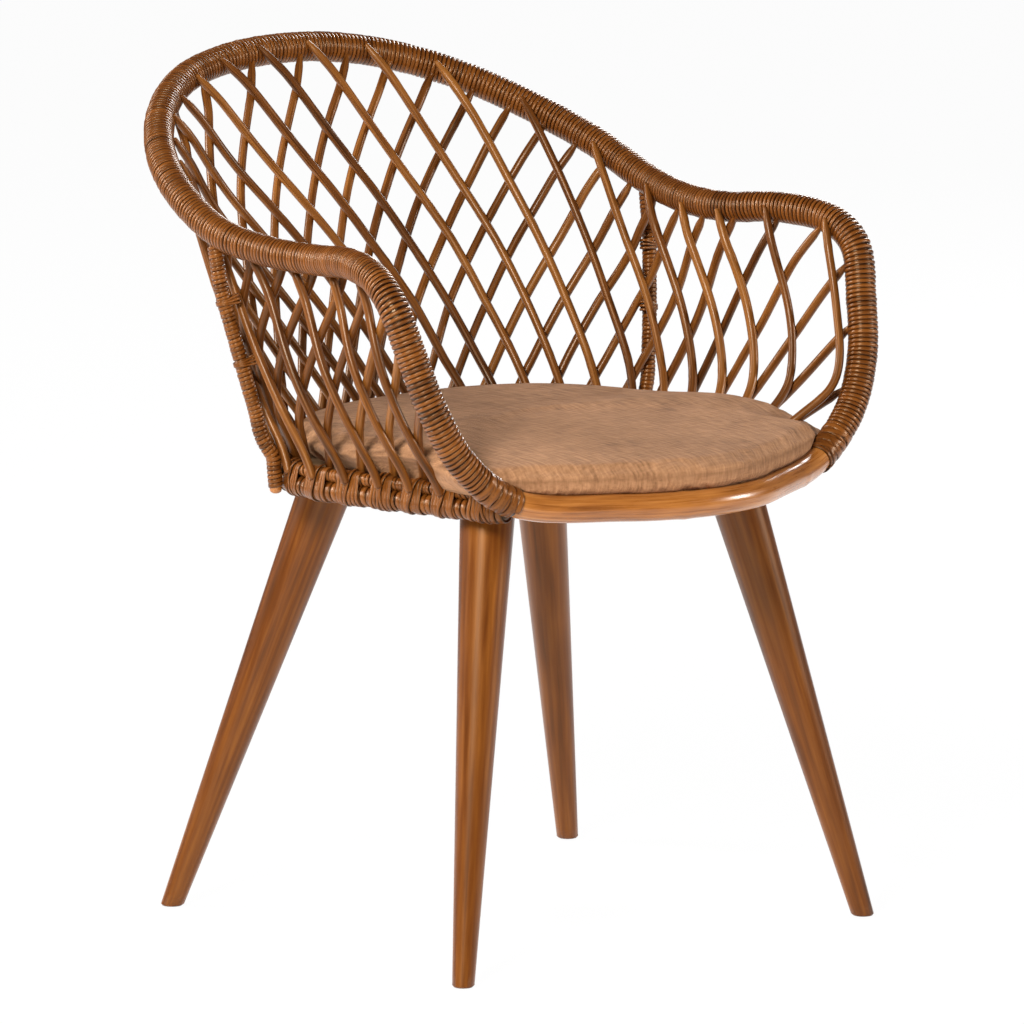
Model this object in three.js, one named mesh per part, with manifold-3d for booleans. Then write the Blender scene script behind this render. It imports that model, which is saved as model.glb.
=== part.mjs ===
// Tub armchair of rattan: a bent rim pole bound with cane, a diagonal lattice of thin rods,
// a bound seat ring, two bound posts, a seat board, four turned legs and a loose cushion.
// Millimetres, +Z up, the front of the chair faces -Y, origin on the floor under the rim's middle.

import * as THREE from 'three';
import { mergeVertices } from 'three/addons/utils/BufferGeometryUtils.js';
import Module from 'manifold-3d';

const wasm = await Module();
wasm.setup();

// Driving dimensions
const clearance = 0.3;
const overrun = 20; // how far a cutting solid reaches past what it cuts

const rim = {
  halfWidth: 272, // centre line of the pole, at the widest place of the arms
  backReach: 352, // centre line at the back, from the origin
  frontReach: 307, // centre line of the bare front rail, from the origin
  railHeight: 430,
  backHeight: 766,
  poleRadius: 12.5,
  bindingThickness: 1.2,
  sides: 8,
  stationsPerPoint: 2,
};

const ring = {
  halfWidth: 208,
  backReach: 196,
  frontReach: 205,
  height: 418, // centre line above the floor, under the origin
  poleRadius: 8,
  bindingThickness: 1.2,
  sides: 8,
  stationsPerPoint: 3,
};

const corner = { thickness: 1.4 }; // second layer of cane over the rim where the ring meets it

const seatTilt = THREE.MathUtils.degToRad(1.6); // the seat falls towards the back

const lattice = {
  rodsEachWay: 30,
  rodRadius: 3.55,
  backRise: 1.6, // height gained for each unit run round the tub, at the back
  frontRise: 2.3, // the same at the arm fronts
  crowding: 0.1, // how much closer the rods stand at the back than at the arms
  backFlare: 1.3, // above 1 the wall stands up first and leans out near the rim
  frontFlare: 0.72, // below 1 it leans out first
  leaningFrom: 0.5, // share of the way from the back to the front where the wall leans out at its foot
  uprightFoot: 34, // height over which the wall begins to lean
  bulge: 9, // how far the arms swell out between ring and rim
  tieRadius: 5.2,
  bite: 1.9, // how deep an outer rod is let into the tie pole
  tail: 3, // length of rod below the middle of the tie pole
  leadStep: 9, // height between the bends of an inner rod that comes onto the inside of the rim
  rimRest: 1.1, // extra room of an inner rod at the rim
  leastHeight: 30, // a shorter rod is left out
  sides: 5,
};

const tieLengths = [
  { name: 'left', feetInLength: 8 },
  { name: 'rear_left', feetInLength: 7 },
  { name: 'rear_right', feetInLength: 7 },
  { name: 'right', feetInLength: 8 },
];

const post = {
  poleRadius: 5.6,
  bindingThickness: 1.3,
  planAngle: THREE.MathUtils.degToRad(23.5),
  heel: 9, // how far the bare end reaches below the ring's middle
  spans: 8,
  sides: 8,
};

const board = {
  thickness: 14,
  drop: 5, // underside below the ring's centre line
  outlinePoints: 90,
  searchStep: 0.25,
};

const leg = {
  footX: 237,
  frontFootY: 227,
  rearFootY: 208,
  footRadius: 10.2,
  topRadius: 25.2,
  frontTopX: 144,
  frontTopY: 146,
  rearTopX: 122,
  rearTopY: 112,
  topHeight: 409, // height at which the top places and the top radius are given
  footRounding: 3,
  footSteps: 3,
  sides: 32,
};

const plate = { radius: 27.5, thickness: 3 };
const bolt = { radius: 4, headRadius: 8, headHeight: 5, reach: 45, headSink: 1.5, sides: 16 };

const cushion = {
  thickness: 42,
  ringInset: 12, // seam to the ring's centre line
  rimInset: 21, // seam to the rim's centre line
  outlinePoints: 60,
};

// Outlines, as shares of the sizes above

// The rim's right half from the middle of the back to the middle of the front rail:
// share of the half width, share of the back or front reach, share of the rise from rail to back.
const rimRouteShares = [
  [0, 1, 1],
  [0.22, 0.993, 0.99],
  [0.44, 0.952, 0.957],
  [0.65, 0.84, 0.895],
  [0.812, 0.682, 0.81],
  [0.905, 0.5, 0.725],
  [0.926, 0.31, 0.648],
  [0.9, 0.125, 0.62],
  [0.885, -0.075, 0.622],
  [0.932, -0.28, 0.64],
  [0.985, -0.465, 0.62],
  [0.998, -0.556, 0.56],
  [0.968, -0.616, 0.42],
  [0.925, -0.667, 0.277],
  [0.835, -0.705, 0.137],
  [0.655, -0.745, 0.022],
  [0.33, -0.895, 0],
  [0.165, -0.968, 0],
  [0, -0.99, 0],
];
const bareRailPoints = [15, 21]; // the route points between which the pole is bare

// The seat ring's right half from the middle of the back to its front end:
// share of the half width, share of the back or front reach.
const ringRouteShares = [
  [0, 1],
  [0.3, 0.975],
  [0.6, 0.85],
  [0.81, 0.62],
  [0.965, 0.35],
  [1, 0.08],
  [0.965, -0.2],
  [0.905, -0.55],
  [0.85, -0.85],
  [0.8, -1],
];

// The cushion from the middle of its underside over the seam to its crown:
// share of the way out to the seam, share of the thickness.
const cushionLayerShares = [
  [0.45, 0],
  [0.74, 0.02],
  [0.88, 0.1],
  [0.96, 0.26],
  [1, 0.48],
  [0.965, 0.66],
  [0.89, 0.8],
  [0.74, 0.92],
  [0.5, 0.985],
  [0.25, 1],
];

const planCentreY = -(rim.frontReach + rim.backReach) * 0.03; // middle of the fan of plan angles
const rimWrapRadius = rim.poleRadius + clearance + rim.bindingThickness;
const ringWrapRadius = ring.poleRadius + clearance + ring.bindingThickness;
const cornerWrapRadius = rimWrapRadius + clearance + corner.thickness;
const postWrapRadius = post.poleRadius + clearance + post.bindingThickness;
const tieLift = ringWrapRadius + lattice.tieRadius + clearance; // tie pole above the ring's centre line
const rodOffset = lattice.rodRadius + clearance / 2; // of crossing rods, from the middle of the wall

// Materials
const finish = (color, roughness) => new THREE.MeshStandardMaterial({ color, roughness, metalness: 0 });
const materials = {
  pole: finish(0xb8743a, 0.4),
  binding: finish(0xa86a38, 0.55),
  rod: finish(0x9c6030, 0.5),
  wood: finish(0x9a5a2c, 0.45),
  plywood: finish(0xc49a68, 0.7),
  linen: finish(0xa4785a, 0.95),
  steel: new THREE.MeshStandardMaterial({ color: 0x8f9092, roughness: 0.35, metalness: 1 }),
};

const chair = new THREE.Group();

function addMesh(name, geometry, material) {
  const mesh = new THREE.Mesh(geometry, material);
  mesh.name = name;
  chair.add(mesh);
  return mesh;
}

// Solids for joining and cutting

function toSolid(geometry) {
  const bare = geometry.clone();
  bare.deleteAttribute('normal');
  bare.deleteAttribute('uv');
  const merged = mergeVertices(bare.index ? bare.toNonIndexed() : bare);
  const vertProperties = new Float32Array(merged.attributes.position.array);
  const triVerts = new Uint32Array(merged.index.array);
  return new wasm.Manifold(new wasm.Mesh({ numProp: 3, vertProperties, triVerts }));
}

function toGeometry(solid) {
  const { vertProperties, triVerts, numProp } = solid.getMesh();
  const positions = [];
  for (let i = 0; i < vertProperties.length; i += numProp) {
    positions.push(...vertProperties.slice(i, i + 3));
  }
  const geometry = new THREE.BufferGeometry();
  geometry.setAttribute('position', new THREE.Float32BufferAttribute(positions, 3));
  geometry.setIndex([...triVerts]);
  return geometry;
}

// Routes and tubes

// Frames carried along the stations without twist. A closed row begins and ends at one place.
function carriedFrames(stations, closed = false) {
  const last = stations.length - 1;
  const tangents = stations.map((place, i) => {
    const before = stations[i > 0 ? i - 1 : closed ? last - 1 : 0];
    const after = stations[i < last ? i + 1 : closed ? 1 : last];
    const arriving = place.clone().sub(before).normalize();
    const leaving = after.clone().sub(place).normalize();
    return arriving.add(leaving).normalize();
  });
  const up = Math.abs(tangents[0].z) < Math.SQRT1_2 ? new THREE.Vector3(0, 0, 1) : new THREE.Vector3(1, 0, 0);
  const normals = [up.clone().addScaledVector(tangents[0], -up.dot(tangents[0])).normalize()];
  for (let i = 1; i < stations.length; i++) {
    const turn = new THREE.Quaternion().setFromUnitVectors(tangents[i - 1], tangents[i]);
    normals.push(normals[i - 1].clone().applyQuaternion(turn));
  }
  const binormals = tangents.map((tangent, i) => tangent.clone().cross(normals[i]).normalize());
  return { tangents, normals, binormals };
}

// A route with one section at each of its stations.
class StationRoute extends THREE.Curve {
  constructor(stations, frames = carriedFrames(stations)) {
    super();
    this.stations = stations;
    this.frames = frames;
  }

  get steps() {
    return this.stations.length - 1;
  }

  getPoint(share) {
    const place = share * this.steps;
    const index = Math.min(Math.floor(place + 1e-9), this.steps - 1);
    return this.stations[index].clone().lerp(this.stations[index + 1], place - index);
  }

  getPointAt(share) {
    return this.getPoint(share);
  }

  computeFrenetFrames() {
    return this.frames;
  }

  part(from, to) {
    const cut = (list) => list.slice(from, to + 1);
    const { tangents, normals, binormals } = this.frames;
    return new StationRoute(cut(this.stations), {
      tangents: cut(tangents),
      normals: cut(normals),
      binormals: cut(binormals),
    });
  }
}

function roundSection(radius, sides) {
  const points = [];
  for (let i = 0; i < sides; i++) {
    const angle = (2 * Math.PI * i) / sides;
    points.push(new THREE.Vector2(radius * Math.cos(angle), radius * Math.sin(angle)));
  }
  return points;
}

function poleAlong(route, radius, sides) {
  const section = new THREE.Shape(roundSection(radius, sides));
  return new THREE.ExtrudeGeometry(section, { steps: route.steps, extrudePath: route, bevelEnabled: false });
}

function bindingAlong(route, poleRadius, thickness, sides) {
  const section = new THREE.Shape(roundSection(poleRadius + clearance + thickness, sides));
  section.holes.push(new THREE.Path(roundSection(poleRadius + clearance, sides)));
  return new THREE.ExtrudeGeometry(section, { steps: route.steps, extrudePath: route, bevelEnabled: false });
}

function nearestOnRoute(place, stations) {
  const nearest = new THREE.Vector3();
  const tried = new THREE.Vector3();
  const line = new THREE.Line3();
  let least = Infinity;
  for (let i = 0; i + 1 < stations.length; i++) {
    line.set(stations[i], stations[i + 1]).closestPointToPoint(place, true, tried);
    const distance = tried.distanceTo(place);
    if (distance < least) {
      least = distance;
      nearest.copy(tried);
    }
  }
  return nearest;
}

const distanceToRoute = (place, stations) => nearestOnRoute(place, stations).distanceTo(place);

// The rim: one bent pole whose two ends meet at the left front corner, under the binding.

function rimPlace([widthShare, reachShare, riseShare], side) {
  const reach = reachShare >= 0 ? rim.backReach : rim.frontReach;
  const height = THREE.MathUtils.lerp(rim.railHeight, rim.backHeight, riseShare);
  return new THREE.Vector3(side * widthShare * rim.halfWidth, reachShare * reach, height);
}

const rimPoints = [
  ...rimRouteShares.map((shares) => rimPlace(shares, 1)),
  ...rimRouteShares.slice(1, -1).reverse().map((shares) => rimPlace(shares, -1)),
];
const rimCurve = new THREE.CatmullRomCurve3(rimPoints, true, 'centripetal');
const bareFrom = bareRailPoints[0] * rim.stationsPerPoint;
const bareTo = bareRailPoints[1] * rim.stationsPerPoint;

// Stations from the left front corner round the back to the right one, then over the bare front rail.
const rimStations = (() => {
  const round = rimCurve.getPoints(rimPoints.length * rim.stationsPerPoint).slice(1);
  const turned = [...round.slice(bareTo - 1), ...round.slice(0, bareTo)];
  return turned;
})();
const wrapTo = rimStations.length - 1 - (bareTo - bareFrom);
const rimFrames = carriedFrames(rimStations, true);
rimStations[rimStations.length - 1].addScaledVector(rimFrames.tangents[0], -clearance);
const rimRoute = new StationRoute(rimStations, rimFrames);
const wrappedStations = rimStations.slice(0, wrapTo + 1);
const bareStations = rimStations.slice(wrapTo);

// The seat ring: a bent U whose ends are lashed behind the front corners of the rim.

function seatPlace(x, y, lift = 0) {
  const place = new THREE.Vector3(x, y, lift).applyAxisAngle(new THREE.Vector3(1, 0, 0), -seatTilt);
  place.z += ring.height;
  return place;
}

function ringPlace([widthShare, reachShare], side) {
  const reach = reachShare >= 0 ? ring.backReach : ring.frontReach;
  return seatPlace(side * widthShare * ring.halfWidth, reachShare * reach);
}

const ringPoints = [
  ...ringRouteShares.slice(1).reverse().map((shares) => ringPlace(shares, -1)),
  ...ringRouteShares.map((shares) => ringPlace(shares, 1)),
];
const ringCurve = new THREE.CatmullRomCurve3(ringPoints, false, 'centripetal');

// Shortens a run of stations at each end until it keeps its distance from the rim.
function clearOfRim(stations, distance) {
  const clear = stations.filter((place) => distanceToRoute(place, rimStations) >= distance);
  const ends = [];
  for (const [last, step] of [[clear[0], -1], [clear[clear.length - 1], 1]]) {
    const outside = stations[stations.indexOf(last) + step];
    const end = last.clone();
    if (outside) {
      for (let share = 0; share <= 1; share += 1 / 64) {
        const tried = last.clone().lerp(outside, share);
        if (distanceToRoute(tried, rimStations) < distance) break;
        end.copy(tried);
      }
    }
    ends.push(end);
  }
  const inner = clear.slice(1, -1);
  return [ends[0], ...inner, ends[1]];
}

const ringWhole = ringCurve.getPoints((ringPoints.length - 1) * ring.stationsPerPoint);
const ringRoute = new StationRoute(clearOfRim(ringWhole, cornerWrapRadius + ringWrapRadius + clearance));

const tieRoute = new StationRoute(
  clearOfRim(
    ringWhole.map((place) => new THREE.Vector3(place.x, place.y, place.z + tieLift)),
    cornerWrapRadius + lattice.tieRadius + clearance,
  ),
);

// Plan angles: every place of the tub is named by its angle round the plan centre and its height.

const planAngle = (place) => {
  const angle = Math.atan2(place.y - planCentreY, place.x);
  return angle < -Math.PI / 2 ? angle + 2 * Math.PI : angle;
};
const planRadius = (place) => Math.hypot(place.x, place.y - planCentreY);

// A look-up of radius and height over plan angle, along the chords of a row of stations.
function profileOverAngle(stations) {
  const finer = 8;
  const rows = [];
  for (let i = 0; i < (stations.length - 1) * finer; i++) {
    const index = Math.floor(i / finer);
    const place = stations[index].clone().lerp(stations[index + 1], (i % finer) / finer);
    rows.push({ angle: planAngle(place), radius: planRadius(place), height: place.z });
  }
  rows.sort((a, b) => a.angle - b.angle);
  return (angle) => {
    let low = 0;
    let high = rows.length - 1;
    while (high - low > 1) {
      const middle = (low + high) >> 1;
      if (rows[middle].angle <= angle) low = middle;
      else high = middle;
    }
    const span = rows[high].angle - rows[low].angle;
    const share = THREE.MathUtils.clamp((angle - rows[low].angle) / span, 0, 1);
    return {
      radius: THREE.MathUtils.lerp(rows[low].radius, rows[high].radius, share),
      height: THREE.MathUtils.lerp(rows[low].height, rows[high].height, share),
    };
  };
}

const rimAt = profileOverAngle(rimStations);
const ringAt = profileOverAngle(ringWhole);

// The lattice wall: between the tie pole and the rim, named by plan angle and height above the tie pole.

const tubEndAngle = planAngle(ringPoints[ringPoints.length - 1]); // right front end of the ring

// 0 at the middle of the back, 1 at the front ends of the tub.
const frontness = (angle) => (1 - Math.sin(angle)) / (1 - Math.sin(tubEndAngle));

const wallHeight = (angle) => rimAt(angle).height - ringAt(angle).height - tieLift;

function wallMiddle(angle, height) {
  const foot = ringAt(angle);
  const top = rimAt(angle);
  const footHeight = foot.height + tieLift;
  const share = THREE.MathUtils.clamp(height / Math.max(wallHeight(angle), lattice.rodRadius), 0, 1.1);
  const flare = THREE.MathUtils.lerp(lattice.backFlare, lattice.frontFlare, frontness(angle));
  const low = Math.min(share, 1);
  const swell = 6.75 * low * (1 - low) ** 2 * Math.cos(angle) ** 2;
  const leanFrom = lattice.tieRadius;
  const start = THREE.MathUtils.smoothstep(height, leanFrom, leanFrom + lattice.uprightFoot);
  const lean = (top.radius - foot.radius) * share ** flare + lattice.bulge * swell;
  const radius = foot.radius + start * lean;
  const y = planCentreY + radius * Math.sin(angle);
  return new THREE.Vector3(radius * Math.cos(angle), y, footHeight + height);
}

// A place at a distance outside the wall, or inside it where the offset is negative.
function wallPlace(angle, height, offset) {
  const small = lattice.rodRadius;
  const middle = wallMiddle(angle, height);
  const level = Math.max(height, small);
  const round = wallMiddle(angle + small / rim.halfWidth, level).sub(wallMiddle(angle, level));
  const rise = wallMiddle(angle, level + small).sub(wallMiddle(angle, level)).normalize();
  const upright = THREE.MathUtils.clamp(1 - height / lattice.leastHeight, 0, 1);
  rise.lerp(new THREE.Vector3(0, 0, 1), upright);
  return middle.addScaledVector(round.cross(rise).normalize(), offset);
}

// Run round the tub at half width, from the left front end of the ring to the right one.
const tubRun = (() => {
  const samples = 1200;
  const angles = [];
  const runs = [0];
  let before;
  for (let i = 0; i <= samples; i++) {
    const angle = THREE.MathUtils.lerp(Math.PI - tubEndAngle, tubEndAngle, i / samples);
    const radius = (ringAt(angle).radius + rimAt(angle).radius) / 2;
    const place = new THREE.Vector2(radius * Math.cos(angle), radius * Math.sin(angle));
    if (before) runs.push(runs[i - 1] + place.distanceTo(before));
    angles.push(angle);
    before = place;
  }
  return { angles, runs, total: runs[samples] };
})();

function angleAtRun(run) {
  const { angles, runs, total } = tubRun;
  const within = THREE.MathUtils.clamp(run, 0, total);
  const index = Math.max(runs.findIndex((value) => value >= within), 1);
  const perRun = (angles[index] - angles[index - 1]) / (runs[index] - runs[index - 1]);
  return angles[index - 1] + (run - runs[index - 1]) * perRun;
}

// Feet of the rods round the tub, one of each family at every foot.
const feet = Array.from({ length: lattice.rodsEachWay }, (_, index) => {
  const share = (index + 0.5) / lattice.rodsEachWay;
  const crowded = share + (lattice.crowding * Math.sin(2 * Math.PI * share)) / (2 * Math.PI);
  const run = tubRun.total * crowded;
  const rise = THREE.MathUtils.lerp(lattice.backRise, lattice.frontRise, frontness(angleAtRun(run)));
  return { run, lean: 1 / rise };
});

// Shortest way from the end face of a pole to a row of stations.
function faceDistance(place, direction, radius, stations) {
  const nearest = nearestOnRoute(place, stations);
  const toNearest = nearest.clone().sub(place);
  const sideways = toNearest.addScaledVector(direction, -toNearest.dot(direction));
  const edge = place.clone().addScaledVector(sideways.normalize(), radius);
  return distanceToRoute(edge, stations);
}

// Side -1 leans to the left going up and lies inside the wall, side +1 leans to the right outside it.
function rodRoute(index, side) {
  const { run, lean } = feet[index];
  const inside = side < 0;
  const angleAt = (height) => angleAtRun(run + side * lean * Math.max(height, 0));
  const onWall = (height) => wallPlace(angleAt(height), height, side * rodOffset);
  const crossings = feet
    .filter((other) => (other.run - run) * side > 0)
    .map((other) => (Math.abs(other.run - run) / (other.lean + lean)))
    .sort((a, b) => a - b);

  const firstCrossing = crossings.length ? crossings[0] : lattice.leastHeight;
  const footOffset = lattice.tieRadius + lattice.rodRadius + (inside ? 3 * clearance : -lattice.bite);
  const rimRoom = rimWrapRadius + lattice.rodRadius + clearance + lattice.rimRest;
  const overTie = lattice.tieRadius + lattice.rodRadius;
  const freeOffset = (height) => {
    const share = THREE.MathUtils.clamp((height - overTie) / (firstCrossing - overTie), 0, 1);
    return THREE.MathUtils.lerp(footOffset, rodOffset, share);
  };
  const offsetAt = (height) => {
    let offset = freeOffset(height);
    const clearOfRimAt = (tried) =>
      distanceToRoute(wallPlace(angleAt(height), height, -tried), rimStations) >= rimRoom;
    while (inside && offset < 2 * rimRoom && !clearOfRimAt(offset)) offset += clearance;
    return offset;
  };
  const reachesRim = (height) => {
    if (height >= wallHeight(angleAt(height))) return true;
    if (inside) return offsetAt(height) > rimRoom + lattice.rimRest;
    const place = onWall(height);
    const direction = place.clone().sub(onWall(height - lattice.rodRadius)).normalize();
    return faceDistance(place, direction, lattice.rodRadius, rimStations) < rimWrapRadius + clearance;
  };
  let top = lattice.rodRadius;
  while (!reachesRim(top + clearance)) top += clearance;
  if (top < lattice.leastHeight) return null;
  const place = (height) => wallPlace(angleAt(height), height, side * offsetAt(height));

  let leadFrom = top;
  while (leadFrom > clearance && offsetAt(leadFrom) > freeOffset(leadFrom)) leadFrom -= clearance;
  const heights = [-lattice.tail, 0];
  if (frontness(angleAtRun(run)) > lattice.leaningFrom) heights.push(overTie, 2 * overTie);
  for (const height of crossings) {
    if (height > 3 * overTie && height < leadFrom - lattice.rodRadius) heights.push(height);
  }
  const bends = Math.ceil((top - leadFrom) / lattice.leadStep);
  for (let bend = 0; bend < bends; bend++) heights.push(leadFrom + ((top - leadFrom) * bend) / bends);
  heights.push(top);
  return new StationRoute(heights.map(place));
}

// Frame poles and their bindings

addMesh('rim_pole', poleAlong(rimRoute, rim.poleRadius, rim.sides), materials.pole);
addMesh(
  'rim_binding',
  bindingAlong(rimRoute.part(0, wrapTo), rim.poleRadius, rim.bindingThickness, rim.sides),
  materials.binding,
);
addMesh('seat_ring', poleAlong(ringRoute, ring.poleRadius, ring.sides), materials.pole);
addMesh(
  'seat_ring_binding',
  bindingAlong(ringRoute, ring.poleRadius, ring.bindingThickness, ring.sides),
  materials.binding,
);
addMesh(
  'corner_binding_right',
  bindingAlong(rimRoute.part(wrapTo - 1, wrapTo), rimWrapRadius, corner.thickness, rim.sides),
  materials.binding,
);
addMesh(
  'corner_binding_left',
  bindingAlong(rimRoute.part(0, 1), rimWrapRadius, corner.thickness, rim.sides),
  materials.binding,
);

// Lattice: inner rods stand alone. Outer rods are let into the tie pole, which is made in four lengths
// that butt halfway between two feet.

for (let index = 0; index < lattice.rodsEachWay; index++) {
  const route = rodRoute(index, -1);
  if (!route) continue;
  addMesh(`inner_rod_${index + 1}`, poleAlong(route, lattice.rodRadius, lattice.sides), materials.rod);
}

// What lies on one side of an upright plane through the plan centre, short of it by half a clearance.
function besidePlane(solid, angle, side) {
  const normal = new THREE.Vector3(-side * Math.sin(angle), side * Math.cos(angle), 0);
  return solid.trimByPlane(normal.toArray(), normal.y * planCentreY + clearance / 2);
}

const angleBetweenFeet = (index) => angleAtRun((feet[index - 1].run + feet[index].run) / 2);
const tiePole = toSolid(poleAlong(tieRoute, lattice.tieRadius, ring.sides));
let firstFoot = 0;
for (const { name, feetInLength } of tieLengths) {
  const nextFoot = firstFoot + feetInLength;
  const from = firstFoot > 0 ? angleBetweenFeet(firstFoot) : 1.5 * Math.PI;
  const to = nextFoot < feet.length ? angleBetweenFeet(nextFoot) : -Math.PI / 2;
  let solid = besidePlane(besidePlane(tiePole, from, -1), to, 1);
  for (let index = firstFoot; index < nextFoot; index++) {
    const route = rodRoute(index, 1);
    if (route) solid = solid.add(toSolid(poleAlong(route, lattice.rodRadius, lattice.sides)));
  }
  addMesh(`outer_lattice_${name}`, toGeometry(solid), materials.rod);
  firstFoot = nextFoot;
}

// Posts stand outside the lattice from the seat ring to the underside of the rim.

function postRoute(side) {
  const angle = side > 0 ? post.planAngle : Math.PI - post.planAngle;
  const atRing = ringWrapRadius + postWrapRadius + 2 * clearance;
  const atTie = lattice.tieRadius - lattice.bite + 2 * lattice.rodRadius + postWrapRadius + clearance;
  const above = rodOffset + lattice.rodRadius + postWrapRadius + 4 * clearance;
  const settle = (Math.PI * rim.halfWidth) / lattice.rodsEachWay;
  const offsetAt = (height) => {
    if (height < 0) return THREE.MathUtils.lerp(atTie, atRing, Math.min(-height / tieLift, 1));
    return THREE.MathUtils.lerp(atTie, above, THREE.MathUtils.clamp(height / settle - 1, 0, 1));
  };
  const place = (height) => wallPlace(angle, height, offsetAt(height));
  const meetsRim = (height) => {
    const direction = place(height).sub(place(height - postWrapRadius)).normalize();
    return faceDistance(place(height), direction, postWrapRadius, rimStations) < rimWrapRadius + clearance;
  };
  let top = settle;
  while (top < wallHeight(angle) && !meetsRim(top + clearance)) top += clearance;
  const stations = [place(-tieLift - post.heel), place(-tieLift), place(0)];
  for (let step = 1; step <= post.spans; step++) stations.push(place((top * step) / post.spans));
  return new StationRoute(stations);
}

for (const [name, side] of [['left', -1], ['right', 1]]) {
  const route = postRoute(side);
  addMesh(`post_${name}`, poleAlong(route, post.poleRadius, post.sides), materials.pole);
  addMesh(
    `post_binding_${name}`,
    bindingAlong(route.part(1, route.steps), post.poleRadius, post.bindingThickness, post.sides),
    materials.binding,
  );
}

// The seat plane: turns and lifts a form drawn over the origin onto the ring's centre line.
function ontoSeat(geometry, lift) {
  geometry.translate(0, 0, lift);
  geometry.rotateX(-seatTilt);
  geometry.translate(0, 0, ring.height);
  return geometry;
}

// The ring's row of stations, carried straight on at both ends as far as the rim.
const ringToRim = (() => {
  const beyond = (end, before) => end.clone().multiplyScalar(4).addScaledVector(before, -3);
  const last = ringWhole.length - 1;
  return [beyond(ringWhole[0], ringWhole[1]), ...ringWhole, beyond(ringWhole[last], ringWhole[last - 1])];
})();

// Closed outline in the seat plane that keeps its distances from ring and rim at the given lifts.
function outlineWithin({ ringDistance, wrappedDistance, bareDistance, lifts, count }) {
  const centre = new THREE.Vector2(0, planCentreY);
  const points = [];
  for (let i = 0; i < count; i++) {
    const angle = (2 * Math.PI * i) / count;
    const direction = new THREE.Vector2(Math.cos(angle), Math.sin(angle));
    const fits = (reach) => {
      const flat = centre.clone().addScaledVector(direction, reach);
      if (distanceToRoute(seatPlace(flat.x, flat.y), ringToRim) < ringDistance) return false;
      return lifts.every((lift) => {
        const place = seatPlace(flat.x, flat.y, lift);
        if (distanceToRoute(place, bareStations) < bareDistance) return false;
        return distanceToRoute(place, wrappedStations) >= wrappedDistance;
      });
    };
    let reach = ring.halfWidth / 2;
    while (reach < rim.backReach && fits(reach + board.searchStep)) reach += board.searchStep;
    points.push(centre.clone().addScaledVector(direction, reach));
  }
  return points;
}

// Legs, each held by a plate and a bolt under the board

const boardTop = board.thickness - board.drop;
const underPlate = -board.drop - clearance - plate.thickness - clearance;
const legPlaces = {
  front_left: { topX: -leg.frontTopX, topY: -leg.frontTopY, footX: -leg.footX, footY: -leg.frontFootY },
  front_right: { topX: leg.frontTopX, topY: -leg.frontTopY, footX: leg.footX, footY: -leg.frontFootY },
  rear_left: { topX: -leg.rearTopX, topY: leg.rearTopY, footX: -leg.footX, footY: leg.rearFootY },
  rear_right: { topX: leg.rearTopX, topY: leg.rearTopY, footX: leg.footX, footY: leg.rearFootY },
};

function turned(profile, sides) {
  return new THREE.LatheGeometry(profile.map(([radius, height]) => new THREE.Vector2(radius, height)), sides)
    .rotateX(Math.PI / 2);
}

// A bolt's form in the seat plane, standing over the middle of a leg's top. Room makes it a cutting solid.
function boltForm({ topX, topY }, room) {
  const headFoot = boardTop - bolt.headSink - bolt.headHeight;
  const headTop = room > 0 ? boardTop + overrun : headFoot + bolt.headHeight;
  const form = turned(
    [
      [0, headFoot - bolt.reach - room],
      [bolt.radius + room, headFoot - bolt.reach - room],
      [bolt.radius + room, headFoot - room],
      [bolt.headRadius + room, headFoot - room],
      [bolt.headRadius + room, headTop],
      [0, headTop],
    ],
    bolt.sides,
  );
  form.translate(topX, topY, 0);
  return ontoSeat(form, 0);
}

function legSolid(place) {
  const top = new THREE.Vector3(place.topX, place.topY, leg.topHeight);
  const foot = new THREE.Vector3(place.footX, place.footY, 0);
  const axis = top.clone().sub(foot);
  const length = axis.length();
  const radiusAt = (height) => leg.footRadius + ((leg.topRadius - leg.footRadius) * height) / length;
  const rounding = leg.footRounding;
  const end = -radiusAt(0) * Math.tan(axis.angleTo(new THREE.Vector3(0, 0, 1)));
  const profile = [[0, end]];
  for (let step = 0; step <= leg.footSteps; step++) {
    const angle = (Math.PI / 2) * (step / leg.footSteps);
    const height = end + rounding * (1 - Math.cos(angle));
    profile.push([radiusAt(height) - rounding * (1 - Math.sin(angle)), height]);
  }
  profile.push([radiusAt(length + overrun), length + overrun], [0, length + overrun]);
  const form = turned(profile, leg.sides);
  const upright = new THREE.Vector3(0, 0, 1);
  form.applyQuaternion(new THREE.Quaternion().setFromUnitVectors(upright, axis.normalize()));
  form.translate(foot.x, foot.y, foot.z);
  const block = rim.halfWidth;
  const floor = new THREE.BoxGeometry(block, block, overrun).translate(foot.x, foot.y, -overrun / 2);
  const seat = new THREE.BoxGeometry(block, block, 2 * overrun).translate(top.x, top.y, underPlate + overrun);
  return toSolid(form)
    .subtract(toSolid(floor))
    .subtract(toSolid(ontoSeat(seat, 0)))
    .subtract(toSolid(boltForm(place, clearance)));
}

const extruded = (shape, depth) => new THREE.ExtrudeGeometry(shape, { depth, bevelEnabled: false });

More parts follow.
